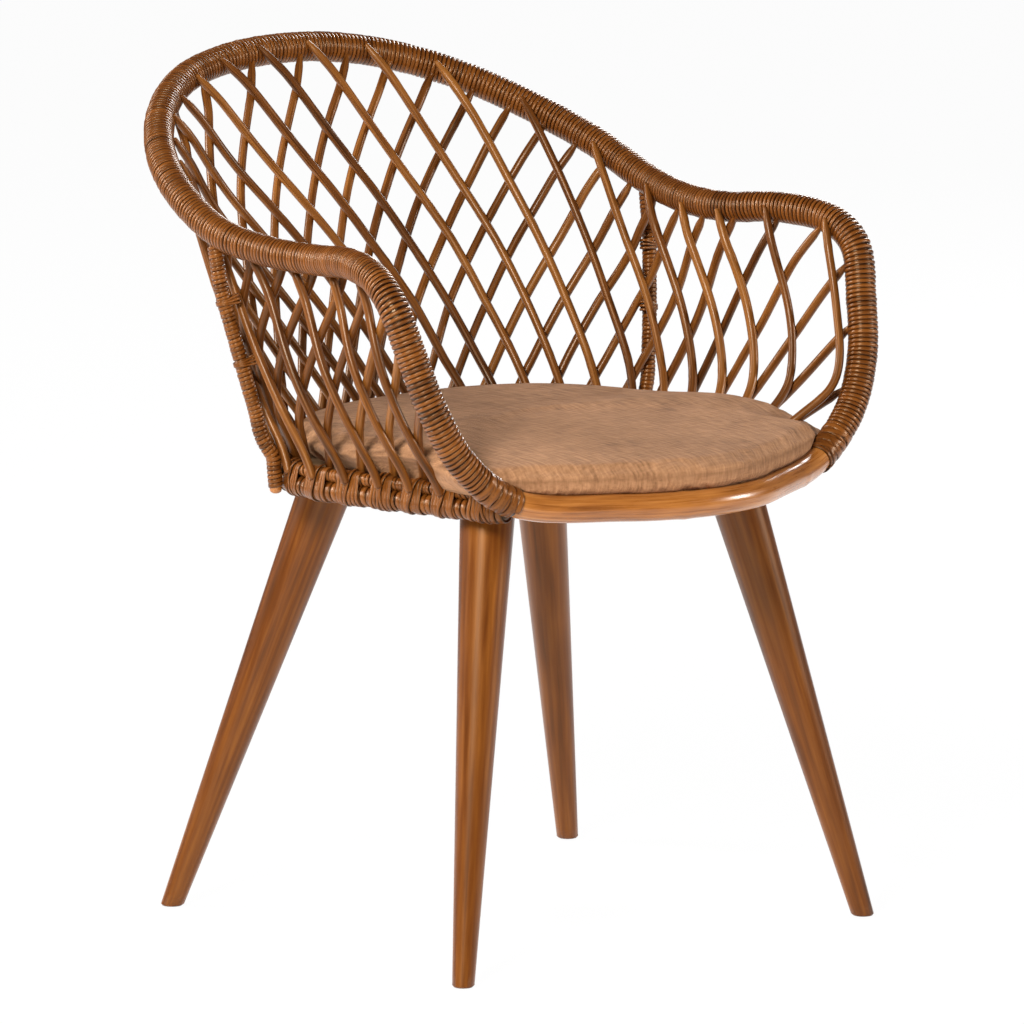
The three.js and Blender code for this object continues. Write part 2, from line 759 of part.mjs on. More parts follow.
{
  const outline = outlineWithin({
    ringDistance: ringWrapRadius + 2 * clearance,
    wrappedDistance: cornerWrapRadius + clearance,
    bareDistance: rim.poleRadius + clearance,
    lifts: [-board.drop, 0, boardTop / 2, boardTop],
    count: board.outlinePoints,
  });
  let solid = toSolid(ontoSeat(extruded(new THREE.Shape(outline), board.thickness), -board.drop));
  for (const place of Object.values(legPlaces)) solid = solid.subtract(toSolid(boltForm(place, clearance)));
  addMesh('seat_board', toGeometry(solid), materials.plywood);
}
for (const [name, place] of Object.entries(legPlaces)) {
  const outer = new THREE.Shape().absarc(place.topX, place.topY, plate.radius, 0, 2 * Math.PI);
  const hole = new THREE.Path().absarc(place.topX, place.topY, bolt.radius + clearance, 0, 2 * Math.PI, true);
  outer.holes.push(hole);
  const disc = ontoSeat(extruded(outer, plate.thickness), underPlate + clearance);
  addMesh(`leg_plate_${name}`, disc, materials.steel);
  addMesh(`leg_bolt_${name}`, boltForm(place, 0), materials.steel);
  addMesh(`leg_${name}`, toGeometry(legSolid(place)), materials.wood);
}

// Loose cushion: a knife-edged seam all round, a crowned top and a flatter underside

{
  const seamShare = cushionLayerShares.find(([out]) => out === 1)[1];
  const base = boardTop + clearance;
  const outline = outlineWithin({
    ringDistance: cushion.ringInset,
    wrappedDistance: cushion.rimInset,
    bareDistance: cushion.rimInset,
    lifts: [0, boardTop, base + seamShare * cushion.thickness],
    count: cushion.outlinePoints,
  });
  const positions = [];
  const add = (point, out, up) => {
    const x = out * point.x;
    const y = planCentreY + out * (point.y - planCentreY);
    positions.push(...seatPlace(x, y, base + up * cushion.thickness).toArray());
  };
  const middle = new THREE.Vector2(0, planCentreY);
  add(middle, 1, 0);
  for (const [out, up] of cushionLayerShares) outline.forEach((point) => add(point, out, up));
  add(middle, 1, 1);
  const count = outline.length;
  const crown = positions.length / 3 - 1;
  const faces = [];
  for (let i = 0; i < count; i++) {
    const next = (i + 1) % count;
    faces.push(0, 1 + next, 1 + i);
    for (let layer = 0; layer + 1 < cushionLayerShares.length; layer++) {
      const low = 1 + layer * count;
      const high = low + count;
      faces.push(low + i, low + next, high + next, low + i, high + next, high + i);
    }
    faces.push(crown - count + i, crown - count + next, crown);
  }
  const geometry = new THREE.BufferGeometry();
  geometry.setAttribute('position', new THREE.Float32BufferAttribute(positions, 3));
  geometry.setIndex(faces);
  geometry.computeVertexNormals();
  addMesh('seat_cushion', geometry, materials.linen);
}

// The chair stands with the middle of its plan over the origin
{
  const middle = new THREE.Box3().setFromObject(chair).getCenter(new THREE.Vector3());
  for (const mesh of chair.children) mesh.geometry.translate(-middle.x, -middle.y, 0);
}

export default chair;
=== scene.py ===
import math

import bpy
import numpy as np
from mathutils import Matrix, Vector


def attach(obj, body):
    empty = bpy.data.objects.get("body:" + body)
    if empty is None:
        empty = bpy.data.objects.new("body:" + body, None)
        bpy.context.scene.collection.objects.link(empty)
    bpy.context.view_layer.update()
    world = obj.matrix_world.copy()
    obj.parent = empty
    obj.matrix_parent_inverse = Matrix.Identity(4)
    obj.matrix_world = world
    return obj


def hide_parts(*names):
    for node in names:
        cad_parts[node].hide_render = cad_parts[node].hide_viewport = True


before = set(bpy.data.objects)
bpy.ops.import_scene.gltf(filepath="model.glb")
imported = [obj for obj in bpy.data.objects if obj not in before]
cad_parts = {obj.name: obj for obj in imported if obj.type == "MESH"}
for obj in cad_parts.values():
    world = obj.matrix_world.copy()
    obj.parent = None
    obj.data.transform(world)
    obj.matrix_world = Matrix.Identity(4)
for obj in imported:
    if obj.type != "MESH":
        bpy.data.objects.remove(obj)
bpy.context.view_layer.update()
rng = np.random.default_rng(11)
print("frame loaded")


# Routes: the shape of the chair in millimetres, as rows of places

chair = {
    "planShift": -24.683,        # the frame's middle was moved to the origin
    "middleShare": -0.03,        # place of the tub's middle, as a share of the rim's depth
    "tubMiddle": 560.0,          # a height in the middle of the tub
    "rimHalfWidth": 272, "rimBack": 352, "rimFront": 307,
    "railHeight": 430, "backHeight": 766,
    "rimWrap": 14,               # radius of the rim with its cane
    "ringHalfWidth": 208, "ringBack": 196, "ringFront": 205, "ringHeight": 418,
    "seatTilt": math.radians(1.6),
    "tieRadius": 5.2, "tieLift": 15,
    "perSpan": 40,               # places on each span of a route
    "bareSpans": (15, 21),       # the rail between these spans of the rim is bare
    "railHidden": 30,            # places by which the bare rail runs on under the winding
    "windingStep": 2.5,          # step of the routes that carry a winding
}
rimShares = [
    (0, 1, 1), (0.22, 0.993, 0.99), (0.44, 0.952, 0.957), (0.65, 0.84, 0.895), (0.812, 0.682, 0.81),
    (0.905, 0.5, 0.725), (0.926, 0.31, 0.648), (0.9, 0.125, 0.62), (0.885, -0.075, 0.622),
    (0.932, -0.28, 0.64), (0.985, -0.465, 0.62), (0.998, -0.556, 0.56), (0.968, -0.616, 0.42),
    (0.925, -0.667, 0.277), (0.835, -0.705, 0.137), (0.655, -0.745, 0.022), (0.33, -0.895, 0),
    (0.165, -0.968, 0), (0, -0.99, 0)]
ringShares = [
    (0, 1), (0.3, 0.975), (0.6, 0.85), (0.81, 0.62), (0.965, 0.35), (1, 0.08), (0.965, -0.2),
    (0.905, -0.55), (0.85, -0.85), (0.8, -1)]
up = np.array([0, 0, 1.0])


def throughPoints(points, count, closed=False):
    # a smooth row through the points: on each span the cubic p1 + t1 w + (3 d - 2 t1 - t2) w^2
    # + (t1 + t2 - 2 d) w^3 with d = p2 - p1; the end slopes t1 and t2 come from the neighbours,
    # weighted by the square roots of the chord lengths
    points = np.asarray(points, float)
    n = len(points)
    place = np.linspace(0, n if closed else n - 1, count, endpoint=not closed)
    i = np.minimum(place.astype(int), n - 1 if closed else n - 2)
    w = (place - i)[:, None]
    if closed:
        padded = np.vstack([points[-1:], points, points[:2]])
    else:
        padded = np.vstack([2 * points[0] - points[1], points, 2 * points[-1] - points[-2]])
    p0, p1, p2, p3 = (padded[i + k] for k in range(4))
    d0, d1, d2 = (np.linalg.norm(b - a, axis=1, keepdims=True) ** 0.5
                  for a, b in ((p0, p1), (p1, p2), (p2, p3)))
    t1 = ((p1 - p0) / d0 - (p2 - p0) / (d0 + d1) + (p2 - p1) / d1) * d1
    t2 = ((p2 - p1) / d1 - (p3 - p1) / (d1 + d2) + (p3 - p2) / d2) * d1
    return p1 + t1 * w + (3 * (p2 - p1) - 2 * t1 - t2) * w ** 2 + (2 * (p1 - p2) + t1 + t2) * w ** 3


def lengthAlong(path):
    # running sum of the chord lengths
    return np.r_[0, np.cumsum(np.linalg.norm(np.diff(path, axis=0), axis=1))]


def pickAlong(rows, run, along):
    # rows of three values looked up at the given lengths
    return np.stack([np.interp(along, run, rows[:, k]) for k in range(3)], -1)


def evenly(path, step):
    # the same row with even steps, as many as fit but at least two
    run = lengthAlong(path)
    return pickAlong(path, run, np.linspace(0, run[-1], max(int(run[-1] / step), 2) + 1))


def unit(v):
    # each vector divided by its length
    return v / np.maximum(np.linalg.norm(v, axis=-1, keepdims=True), 1e-9)


def framesAlong(path, outward):
    # tangent = slope of the row; side = outward direction made square to it; other = tangent x side
    tangent = unit(np.gradient(path, axis=0))
    side = unit(outward - np.sum(outward * tangent, -1, keepdims=True) * tangent)
    return tangent, side, np.cross(tangent, side)


def rimRoute():
    # right half = shares of the half width, the depth and the rise; left half mirrored
    rise = chair["backHeight"] - chair["railHeight"]
    half = np.array([(x * chair["rimHalfWidth"], y * (chair["rimBack"] if y >= 0 else chair["rimFront"]),
                      chair["railHeight"] + z * rise) for x, y, z in rimShares], float)
    return np.vstack([half, half[1:-1][::-1] * (-1, 1, 1)])


def seatPlace(x, y, lift=0.0):
    # a place of the seat plane: turned about X by the seat's fall, then lifted to the ring's height
    c, s = math.cos(chair["seatTilt"]), math.sin(chair["seatTilt"])
    return np.stack([x + 0 * y, y * c + lift * s, chair["ringHeight"] - y * s + lift * c], -1)


def ringRoute():
    # right half = shares of the half width and the depth, on the seat plane; left half mirrored
    half = np.array([(x * chair["ringHalfWidth"], y * (chair["ringBack"] if y >= 0 else chair["ringFront"]))
                     for x, y in ringShares], float)
    plan = np.vstack([half[1:][::-1] * (-1, 1), half])
    return seatPlace(plan[:, 0], plan[:, 1])


centreY = chair["middleShare"] * (chair["rimFront"] + chair["rimBack"])
rimPoints, ringPoints = rimRoute(), ringRoute()
rimLoop = throughPoints(rimPoints, len(rimPoints) * chair["perSpan"], closed=True)  # from the back's middle
ringLine = throughPoints(ringPoints, (len(ringPoints) - 1) * chair["perSpan"] + 1)
bareFrom, bareTo = (span * chair["perSpan"] for span in chair["bareSpans"])
wrapLine = np.vstack([rimLoop[bareTo:], rimLoop[:bareFrom + 1]])
railLine = rimLoop[bareFrom - chair["railHidden"]:bareTo + chair["railHidden"] + 1]


def planAngle(path):
    # angle about the tub's middle seen from above, from -90 degrees upward
    angle = np.arctan2(path[:, 1] - centreY, path[:, 0])
    return np.where(angle < -math.pi / 2, angle + 2 * math.pi, angle)


def overAngle(path):
    # radius and height of a row as a look-up over its plan angle
    angle, radius = planAngle(path), np.hypot(path[:, 0], path[:, 1] - centreY)
    order = np.argsort(angle)
    return lambda a: (np.interp(a, angle[order], radius[order]), np.interp(a, angle[order], path[order, 2]))


rimAt, ringAt = overAngle(rimLoop), overAngle(ringLine)
endAngle = planAngle(ringLine)[-1]


# The lattice wall and the lines of its rods

lattice = {
    "rods": 30, "radius": 4.1,
    "backRise": 1.6, "frontRise": 2.3,           # steepness of the rods: height over run
    "crowding": 0.1,                             # the feet stand closer behind and wider at the arms
    "backFlare": 1.3, "frontFlare": 0.72,        # power with which the wall leans out toward the rim
    "bulge": 9, "uprightFoot": 34,
    "leastRoom": 4, "overRim": 1.12,             # the wall's least height, and its reach over the rim
    "probeTurn": 0.013, "probeRise": 3.5,        # steps for the wall's directions
    "stations": 1201,                            # places on the tub's plan
    "free": 3.85, "freeHeights": (6, 40),        # a rod's distance from the wall's middle above the foot
    "wander": 0.8, "bends": 9, "wanderHeights": (10, 60),   # how far a rod strays from its line, mm
    "tuckFrom": 105,             # height below the rim where the rods begin to move to its inner side
    "innerBite": 0.9,            # how deep the inner rods lie in the cane beside the rim
    "innerEnd": 0.5,             # the inner rods end this far over the rim's middle
    "outerEndShare": 0.7,        # the outer ones end under it, by this share of its radius
    "outerTuck": 9.0,            # how far inside the wall the outer rods end
    "fallStep": 0.02, "fallRange": (0.55, 0.95), "steepFrom": 0.3,
    "steepTuck": 5, "bite": 3.5,                 # how far inside the wall and in the cane, on steep rim
    "innerTip": 0.8, "outerTip": -2.0, "tipStretch": 40,    # where the tips end, from the cane's surface
    "leastHeight": 30,           # shorter rods are left out
    "below": 4.0, "top": 420.0, "step": 3.0, "softening": 50, "rodStep": 3.4,
}


def frontness(angle):
    # 0 at the middle of the back, 1 at the arm fronts
    return (1 - np.sin(angle)) / (1 - math.sin(endAngle))


def smooth(x, low, high):
    # 3 t^2 - 2 t^3, where t goes from 0 at low to 1 at high
    t = np.clip((x - low) / (high - low), 0, 1)
    return t * t * (3 - 2 * t)


def roomAt(angle):
    # height from the tie pole to the rim
    return rimAt(angle)[1] - ringAt(angle)[1] - chair["tieLift"]


def wall(angle, height):
    # middle of the lattice wall: radius = ring's + start ((rim's - ring's) share^flare + bulge swell),
    # with swell = 6.75 share (1 - share)^2 cos^2 of the angle, whose peak is 1
    ringRadius, ringHeight = ringAt(angle)
    rimRadius, rimHeight = rimAt(angle)
    foot = ringHeight + chair["tieLift"]
    share = np.clip(height / np.maximum(rimHeight - foot, lattice["leastRoom"]), 0, lattice["overRim"])
    low = np.minimum(share, 1)
    flare = lattice["backFlare"] + (lattice["frontFlare"] - lattice["backFlare"]) * frontness(angle)
    swell = 6.75 * low * (1 - low) ** 2 * np.cos(angle) ** 2
    start = smooth(height, chair["tieRadius"], chair["tieRadius"] + lattice["uprightFoot"])
    radius = ringRadius + start * ((rimRadius - ringRadius) * share ** flare + lattice["bulge"] * swell)
    return np.stack([radius * np.cos(angle), centreY + radius * np.sin(angle), foot + height], -1)


def wallNormal(angle, height):
    # direction round the wall x direction up it, which turns upright toward the foot
    level = np.maximum(height, lattice["probeRise"])
    here = wall(angle, level)
    ahead = wall(angle + lattice["probeTurn"], level) - here
    rise = unit(wall(angle, level + lattice["probeRise"]) - here)
    t = np.clip(1 - height / lattice["leastHeight"], 0, 1)[..., None]
    return unit(np.cross(ahead, rise * (1 - t) + up * t))


tubAngles = np.linspace(math.pi - endAngle, endAngle, lattice["stations"])
tubRadius = (ringAt(tubAngles)[0] + rimAt(tubAngles)[0]) / 2
tubPlan = np.stack([tubRadius * np.cos(tubAngles), tubRadius * np.sin(tubAngles), 0 * tubAngles], -1)
tubRun = lengthAlong(tubPlan)


def angleAtRun(run):
    # plan angle at a length along the tub's plan, carried on in a straight line past its ends
    slope = (tubAngles[-1] - tubAngles[-2]) / (tubRun[-1] - tubRun[-2])
    past = np.clip(run - tubRun[-1], 0, None) + np.clip(run, None, 0)
    return np.interp(run, tubRun, tubAngles) + past * slope


rodShares = (np.arange(lattice["rods"]) + 0.5) / lattice["rods"]
feetRun = tubRun[-1] * (rodShares + lattice["crowding"] * np.sin(2 * math.pi * rodShares) / (2 * math.pi))
feetFront = frontness(angleAtRun(feetRun))
feetLean = 1 / (lattice["backRise"] + (lattice["frontRise"] - lattice["backRise"]) * feetFront)


def nearestOn(path, places):
    # nearest place of a dense row to each place, among every third one, and how far it is
    nearest = path[np.argmin(np.sum((places[:, None] - path[None, ::3]) ** 2, -1), 1) * 3]
    return nearest, np.linalg.norm(places - nearest, axis=-1)


def clearOf(path, distance, places):
    # places nearer to the row than the distance move straight away from it
    nearest, far = nearestOn(path, places)
    return np.where((far < distance)[:, None], nearest + unit(places - nearest) * distance, places)


def softened(rows, passes):
    # each place becomes half itself and a quarter each neighbour, the ends stay
    for _ in range(passes):
        rows = np.vstack([rows[:1], rows[1:-1] / 2 + (rows[:-2] + rows[2:]) / 4, rows[-1:]])
    return rows


def rimFall(angle):
    # the rim's drop over its run at a plan angle, as 0 on level stretches and 1 toward the front corners
    step = lattice["fallStep"]
    drop = np.abs(rimAt(angle + step)[1] - rimAt(angle - step)[1]) / (2 * step * rimAt(angle)[0])
    return smooth(drop, *lattice["fallRange"])


def besideWall(height):
    # distance between the middles of rod and wall: beside the tie pole at the foot, less above
    foot = chair["tieRadius"] + lattice["radius"]
    return lattice["free"] + (foot - lattice["free"]) * (1 - smooth(height, *lattice["freeHeights"]))


def reaching(line, side):
    # the last stretch is drawn to the rim until the tip lies in the cane: move = (distance - depth) toward
    # the nearest place of the rim, growing smoothly from nothing over the stretch
    nearest, far = nearestOn(rimLoop, line[-1:])
    depth = chair["rimWrap"] + (lattice["innerTip"] if side < 0 else lattice["outerTip"])
    move = unit(nearest - line[-1:]) * max(far[0] - depth, 0)
    run = lengthAlong(line)
    return line + move * smooth(run, run[-1] - lattice["tipStretch"], run[-1])[:, None]


def rodLine(index, side):
    # a straight line in run and height on the wall, moved off it by side beside (1 - near) - tucked near,
    # where near goes from 0 to 1 below the rim: inner rods end beside the rim's middle, outer ones against
    # its lower inner face, and where the rim falls steeply both run into it
    height = np.arange(-lattice["below"], lattice["top"], lattice["step"])
    angle = angleAtRun(feetRun[index] + side * feetLean[index] * np.maximum(height, 0))
    room = roomAt(angle)
    ends = lattice["innerEnd"] if side < 0 else -chair["rimWrap"] * lattice["outerEndShare"]
    beyond = np.nonzero(height > room + ends)[0]
    last = beyond[0] if len(beyond) else len(height)
    if height[last - 1] < lattice["leastHeight"]:
        return None
    height, angle, room = height[:last], angle[:last], room[:last]
    steep = rimFall(angle[-1])
    normal = wallNormal(angle, height)
    innerTuck = chair["rimWrap"] + lattice["radius"] - lattice["innerBite"]
    tucked = innerTuck if side < 0 else lattice["outerTuck"]
    tucked = tucked + (lattice["steepTuck"] - tucked) * steep
    near = smooth(height - room, -lattice["tuckFrom"], ends)
    offset = side * besideWall(height) * (1 - near) - tucked * near
    strays = rng.normal(0, lattice["wander"], lattice["bends"])
    stray = np.interp(height, np.linspace(0, lattice["top"], lattice["bends"]), strays)
    line = softened(wall(angle, height) + normal * offset[:, None], lattice["softening"])
    across = framesAlong(line, normal)[2]
    line = line + across * (stray * smooth(height, *lattice["wanderHeights"]))[:, None]
    if steep > lattice["steepFrom"]:
        inside = nearestOn(wrapLine, line)[1] < chair["rimWrap"] - lattice["bite"]
        inside[:len(inside) // 3] = False        # the search starts above the foot
        line = line[:np.argmax(inside) + 1] if inside.any() else line
    else:
        line = clearOf(wrapLine, innerTuck, line)
    line = throughPoints(softened(line, 2), 3 * len(line))
    return evenly(reaching(line, side), lattice["rodStep"])


# Meshes from grids

sections = {
    "capShares": np.array([0.0, 0.12, 0.32, 0.6]),      # rings of a round end, as shares of the radius
    "capClear": 0.3, "capLeast": 0.004,
    "tubePattern": 12.5, "stripPattern": 10,            # length of one unit of the pattern, mm
    "beltSegments": 48,
    "strip": np.array([(-1, 0), (-0.88, 0.62), (-0.5, 0.93), (0, 1), (0.5, 0.93), (0.88, 0.62), (1, 0),
                       (0, -0.1)]),                     # shares of half the cane's width and its thickness
}
uneven = {                       # how much the turns of a winding differ
    "slide": 0.25, "phase": 0.8, "lift": 0.12, "width": 0.06, "thickness": 0.1, "tone": 1.0, "beltTone": 0.8,
}


def meshFrom(name, grids, finish, closedAlong=False):
    # each grid is rows of places along a path by places round it: place (i, j) is joined to (i, j + 1),
    # (i + 1, j + 1) and (i + 1, j), and the end rings are capped where the path doesn't close
    verts, quads, caps, tones, coords = [], [], [], [], []
    base = 0
    for grid, tone, coord in grids:
        n, m = grid.shape[:2]
        i = np.arange(n if closedAlong else n - 1)[:, None]
        j = np.arange(m)[None]
        i2, j2 = (i + 1) % n, (j + 1) % m
        quads.append(np.stack([i * m + j, i * m + j2, i2 * m + j2, i2 * m + j], -1).reshape(-1, 4) + base)
        if not closedAlong:
            caps.append(np.arange(m)[::-1] + base)
            caps.append(np.arange(m) + (n - 1) * m + base)
        verts.append(grid.reshape(-1, 3))
        tones.append(np.broadcast_to(tone, (n, m)).reshape(-1))
        coords.append(coord.reshape(-1, 3))
        base += n * m
    verts = np.vstack(verts)
    verts[:, 1] += chair["planShift"]
    quads = np.vstack(quads)
    loops = np.concatenate([quads.reshape(-1)] + caps)
    sizes = np.concatenate([np.full(len(quads), 4), [len(c) for c in caps]]).astype(np.int32)
    mesh = bpy.data.meshes.new(name)
    mesh.vertices.add(len(verts))
    mesh.vertices.foreach_set("co", (verts * 0.001).astype(np.float32).ravel())
    mesh.loops.add(len(loops))
    mesh.loops.foreach_set("vertex_index", loops.astype(np.int32))
    mesh.polygons.add(len(sizes))
    mesh.polygons.foreach_set("loop_start", np.r_[0, np.cumsum(sizes)[:-1]].astype(np.int32))
    mesh.polygons.foreach_set("use_smooth", np.ones(len(sizes), bool))
    tone = mesh.attributes.new("tone", "FLOAT", "POINT")
    tone.data.foreach_set("value", np.concatenate(tones).astype(np.float32))
    where = mesh.attributes.new("where", "FLOAT_VECTOR", "POINT")
    where.data.foreach_set("vector", np.vstack(coords).astype(np.float32).ravel())
    mesh.update(calc_edges=True)
    mesh.validate()
    mesh.materials.append(finish)
    piece = bpy.data.objects.new(name, mesh)
    bpy.context.collection.objects.link(piece)
    return piece


def tube(path, radius, outward, sides=12, tone=0.0, roundEnds=True):
    # a circle carried along the row: place = path + radius (side cos + other sin); at a round end the
    # radius shrinks as sqrt(1 - t^2) over the last 0.6 of a radius
    run = lengthAlong(path)
    radius = np.broadcast_to(radius, run.shape).astype(float)
    if roundEnds:
        cap = sections["capShares"] * radius[0]
        reach = cap[-1] + sections["capClear"]
        along = np.concatenate([cap, run[(run > reach) & (run < run[-1] - reach)], run[-1] - cap[::-1]])
        outward = pickAlong(np.broadcast_to(outward, path.shape), run, along)
        path, radius = pickAlong(path, run, along), np.interp(along, run, radius)
        t = 1 - np.minimum(along, along[-1] - along) / radius / sections["capShares"][-1]
        radius = radius * np.sqrt(np.clip(1 - np.clip(t, 0, 1) ** 2, sections["capLeast"], 1))
        run = along
    tangent, side, other = framesAlong(path, outward)
    turn = 2 * math.pi * np.arange(sides) / sides
    cos, sin = np.cos(turn)[None], np.sin(turn)[None]
    ring = cos[..., None] * side[:, None] + sin[..., None] * other[:, None]
    coord = np.stack(np.broadcast_arrays(cos, sin, run[:, None] / sections["tubePattern"]), -1)
    return path[:, None] + ring * radius[:, None, None], tone, coord


def caneStrip(centre, across, outward, width, thickness, tone):
    # a flat cane with a rounded back, carried along a row: for each share (u, v) of its section
    # place = centre + across u width / 2 + outward v thickness
    u, v = sections["strip"].T[:, None]
    width = np.broadcast_to(width, len(centre))[:, None, None] / 2
    thickness = np.broadcast_to(thickness, len(centre))[:, None, None]
    grid = (centre[:, None] + across[:, None] * width * u[..., None]
            + outward[:, None] * thickness * v[..., None])
    run = lengthAlong(centre)[:, None]
    coord = np.stack(np.broadcast_arrays(u, v, run / sections["stripPattern"]), -1)
    return grid[:, ::-1], np.broadcast_to(tone, len(centre))[:, None], coord[:, ::-1]


def windingOver(path, outward, radius, pitch, width, thickness, segments, wobble, lean=0.0):
    # cane wound round a pole: place(turn) = path(turn pitch) + radius (side cos + other sin);
    # place, slant, height, width, thickness and tone change a little from turn to turn
    run = lengthAlong(path)
    turns = run[-1] / pitch
    turn = np.linspace(0, turns, int(turns * segments))
    whole = np.arange(int(turns) + 3)

    def vary(size):
        # a random value at each whole turn, straight lines between
        return np.interp(turn, whole, rng.normal(0, size, len(whole)))

    angle = 2 * math.pi * turn
    along = run[-1] * turn / turns + vary(wobble * uneven["slide"])
    along = along + (lean + vary(wobble)) * np.cos(angle + vary(uneven["phase"]))
    along = np.clip(along, 0, run[-1])
    tangent, side, other = (unit(pickAlong(rows, run, along)) for rows in framesAlong(path, outward))
    out = side * np.cos(angle)[:, None] + other * np.sin(angle)[:, None]
    lift = radius + np.abs(vary(uneven["lift"]))
    centre = pickAlong(path, run, along) + out * lift[:, None]
    return caneStrip(centre, tangent, out, width * (1 + vary(uneven["width"])),
                     thickness * (1 + vary(uneven["thickness"])), vary(uneven["tone"]))


def belt(middle, way, upward, lower, upper, apart, width, thickness, lean=0.0):
    # cane drawn tight round two poles: for each outward direction the farther of the two circles,
    # lower direction or apart upward + upper direction; lean slides it along the poles with height
    turn = np.linspace(0, 2 * math.pi, sections["beltSegments"], endpoint=False)
    side = unit(np.cross(way, upward))
    out = side * np.cos(turn)[:, None] + upward * np.sin(turn)[:, None]
    onUpper = upper + apart * np.sin(turn) > lower
    centre = middle + np.where(onUpper[:, None], upward * apart + out * upper, out * lower)
    height = (centre - middle) @ upward
    centre = centre + way * (lean * (height - apart / 2))[:, None]
    centre, out = (np.vstack([rows, rows[:1]]) for rows in (centre, out))
    run = lengthAlong(centre)
    even = np.linspace(0, run[-1], len(turn), endpoint=False)
    centre, out = pickAlong(centre, run, even), unit(pickAlong(out, run, even))
    slope = unit(np.roll(centre, -1, 0) - np.roll(centre, 1, 0))
    tone = rng.normal(0, uneven["beltTone"])
    return caneStrip(centre, unit(np.cross(slope, out)), out, width, thickness, tone)


# Finishes

class Wire:
    # a value on its way to a shader; sums on wires become Math nodes
    def __init__(self, tree, socket):
        self.tree, self.socket = tree, socket

    def sum(self, operation, a, b=0.0):
        return self.tree.add("ShaderNodeMath", {0: a, 1: b}, operation=operation)

    def __add__(self, other):
        return self.sum("ADD", self, other)

    def __radd__(self, other):
        return self.sum("ADD", other, self)

    def __sub__(self, other):
        return self.sum("SUBTRACT", self, other)

    def __rsub__(self, other):
        return self.sum("SUBTRACT", other, self)

    def __mul__(self, other):
        return self.sum("MULTIPLY", self, other)

    def __rmul__(self, other):
        return self.sum("MULTIPLY", other, self)

    def __pow__(self, other):
        return self.sum("POWER", self, other)

    def sine(self):
        return self.sum("SINE", self)

    def size(self):
        return self.sum("ABSOLUTE", self)


class Tree:
    # the nodes of a material or of the world
    def __init__(self, nodeTree):
        self.nodes, self.links = nodeTree.nodes, nodeTree.links

    def add(self, kind, inputs=None, out=0, **settings):
        # any node: settings first, then its inputs as wires, numbers or colours
        node = self.nodes.new(kind)
        for key, value in settings.items():
            setattr(node, key, value)
        for key, value in (inputs or {}).items():
            if isinstance(value, Wire):
                self.links.new(value.socket, node.inputs[key])
            else:
                node.inputs[key].default_value = value
        return Wire(self, node.outputs[out])

    def beside(self, wire, out):
        # another output of the node that a wire comes from
        return Wire(self, wire.socket.node.outputs[out])


class Finish(Tree):
    # a material whose even values are set on the shader's own sockets
    def __init__(self, name, roughness=0.5, coat=0.0, sheen=0.0, metallic=0.0, gloss=0.26,
                 tint=(1.0, 0.72, 0.46)):
        self.material = bpy.data.materials.new(name)
        self.material.use_nodes = True
        super().__init__(self.material.node_tree)
        self.shader = self.nodes["Principled BSDF"]
        fixed = {"Roughness": roughness, "Coat Weight": coat, "Coat Roughness": 0.16, "Sheen Weight": sheen,
                 "Metallic": metallic, "Specular IOR Level": gloss, "Specular Tint": (*tint, 1)}
        for key, value in fixed.items():
            self.shader.inputs[key].default_value = value

    def attribute(self, name, out):
        # out: 1 for a vector, 2 for a number
        return self.add("ShaderNodeAttribute", attribute_name=name, out=out)

    def noise(self, vector, scale, detail):
        return self.add("ShaderNodeTexNoise", {"Vector": vector, "Scale": scale, "Detail": detail,
                                               "Roughness": 0.55})

    def stretched(self, vector, scale):
        return self.add("ShaderNodeMapping", {"Vector": vector, "Scale": scale})

    def ramp(self, factor, look, dark, mid, light):
        # the look's dark, mid and light colours at the given places of the factor
        wire = self.add("ShaderNodeValToRGB", {0: factor})
        band = wire.socket.node.color_ramp
        for k, (place, shade) in enumerate(((dark, "dark"), (light, "light"), (mid, "mid"))):
            stop = band.elements[k] if k < 2 else band.elements.new(place)
            stop.position = place
            stop.color = (*look[shade], 1)
        return wire

    def mixed(self, factor, first, second):
        return self.add("ShaderNodeMix", {0: factor, 6: first, 7: second}, out=2, data_type="RGBA")

    def colour(self, wire):
        self.links.new(wire.socket, self.shader.inputs["Base Color"])

    def rough(self, wire):
        self.links.new(wire.socket, self.shader.inputs["Roughness"])

    def bump(self, height, distance, strength):
        node = self.add("ShaderNodeBump", {"Height": height, "Distance": distance, "Strength": strength})
        self.links.new(node.socket, self.shader.inputs["Normal"])


caneLook = {"light": (0.178, 0.054, 0.008), "mid": (0.084, 0.022, 0.0025), "dark": (0.011, 0.0025, 0.0008)}


def caneFinish(name, look):
    # colour = fibre noise along the strip, shifted by each turn's tone, with painted shade darker by |u|^3.5
    # toward its edges, where neighbouring turns meet
    f = Finish(name, roughness=0.32, coat=0.05, gloss=0.42, tint=(1.0, 0.66, 0.36))
    where, tone = f.attribute("where", 1), f.attribute("tone", 2)
    fibre = f.noise(f.stretched(where, (6, 6, 0.35)), 3.0, 4)
    blotch = f.noise(f.stretched(where, (0.4, 0.4, 0.25)), 1.3, 2)
    # edge: painted shade toward the strip's edges, standing in for the shade in the gaps between turns
    edge = f.add("ShaderNodeSeparateXYZ", {0: where}).size() ** 3.5
    f.colour(f.ramp(fibre * 0.45 + blotch * 0.4 + tone * 0.055 + 0.12 - edge * 0.42, look, 0.08, 0.40, 0.62))
    f.rough(0.20 + fibre * 0.2)
    f.bump(fibre, 0.0004, 0.35)
    return f.material


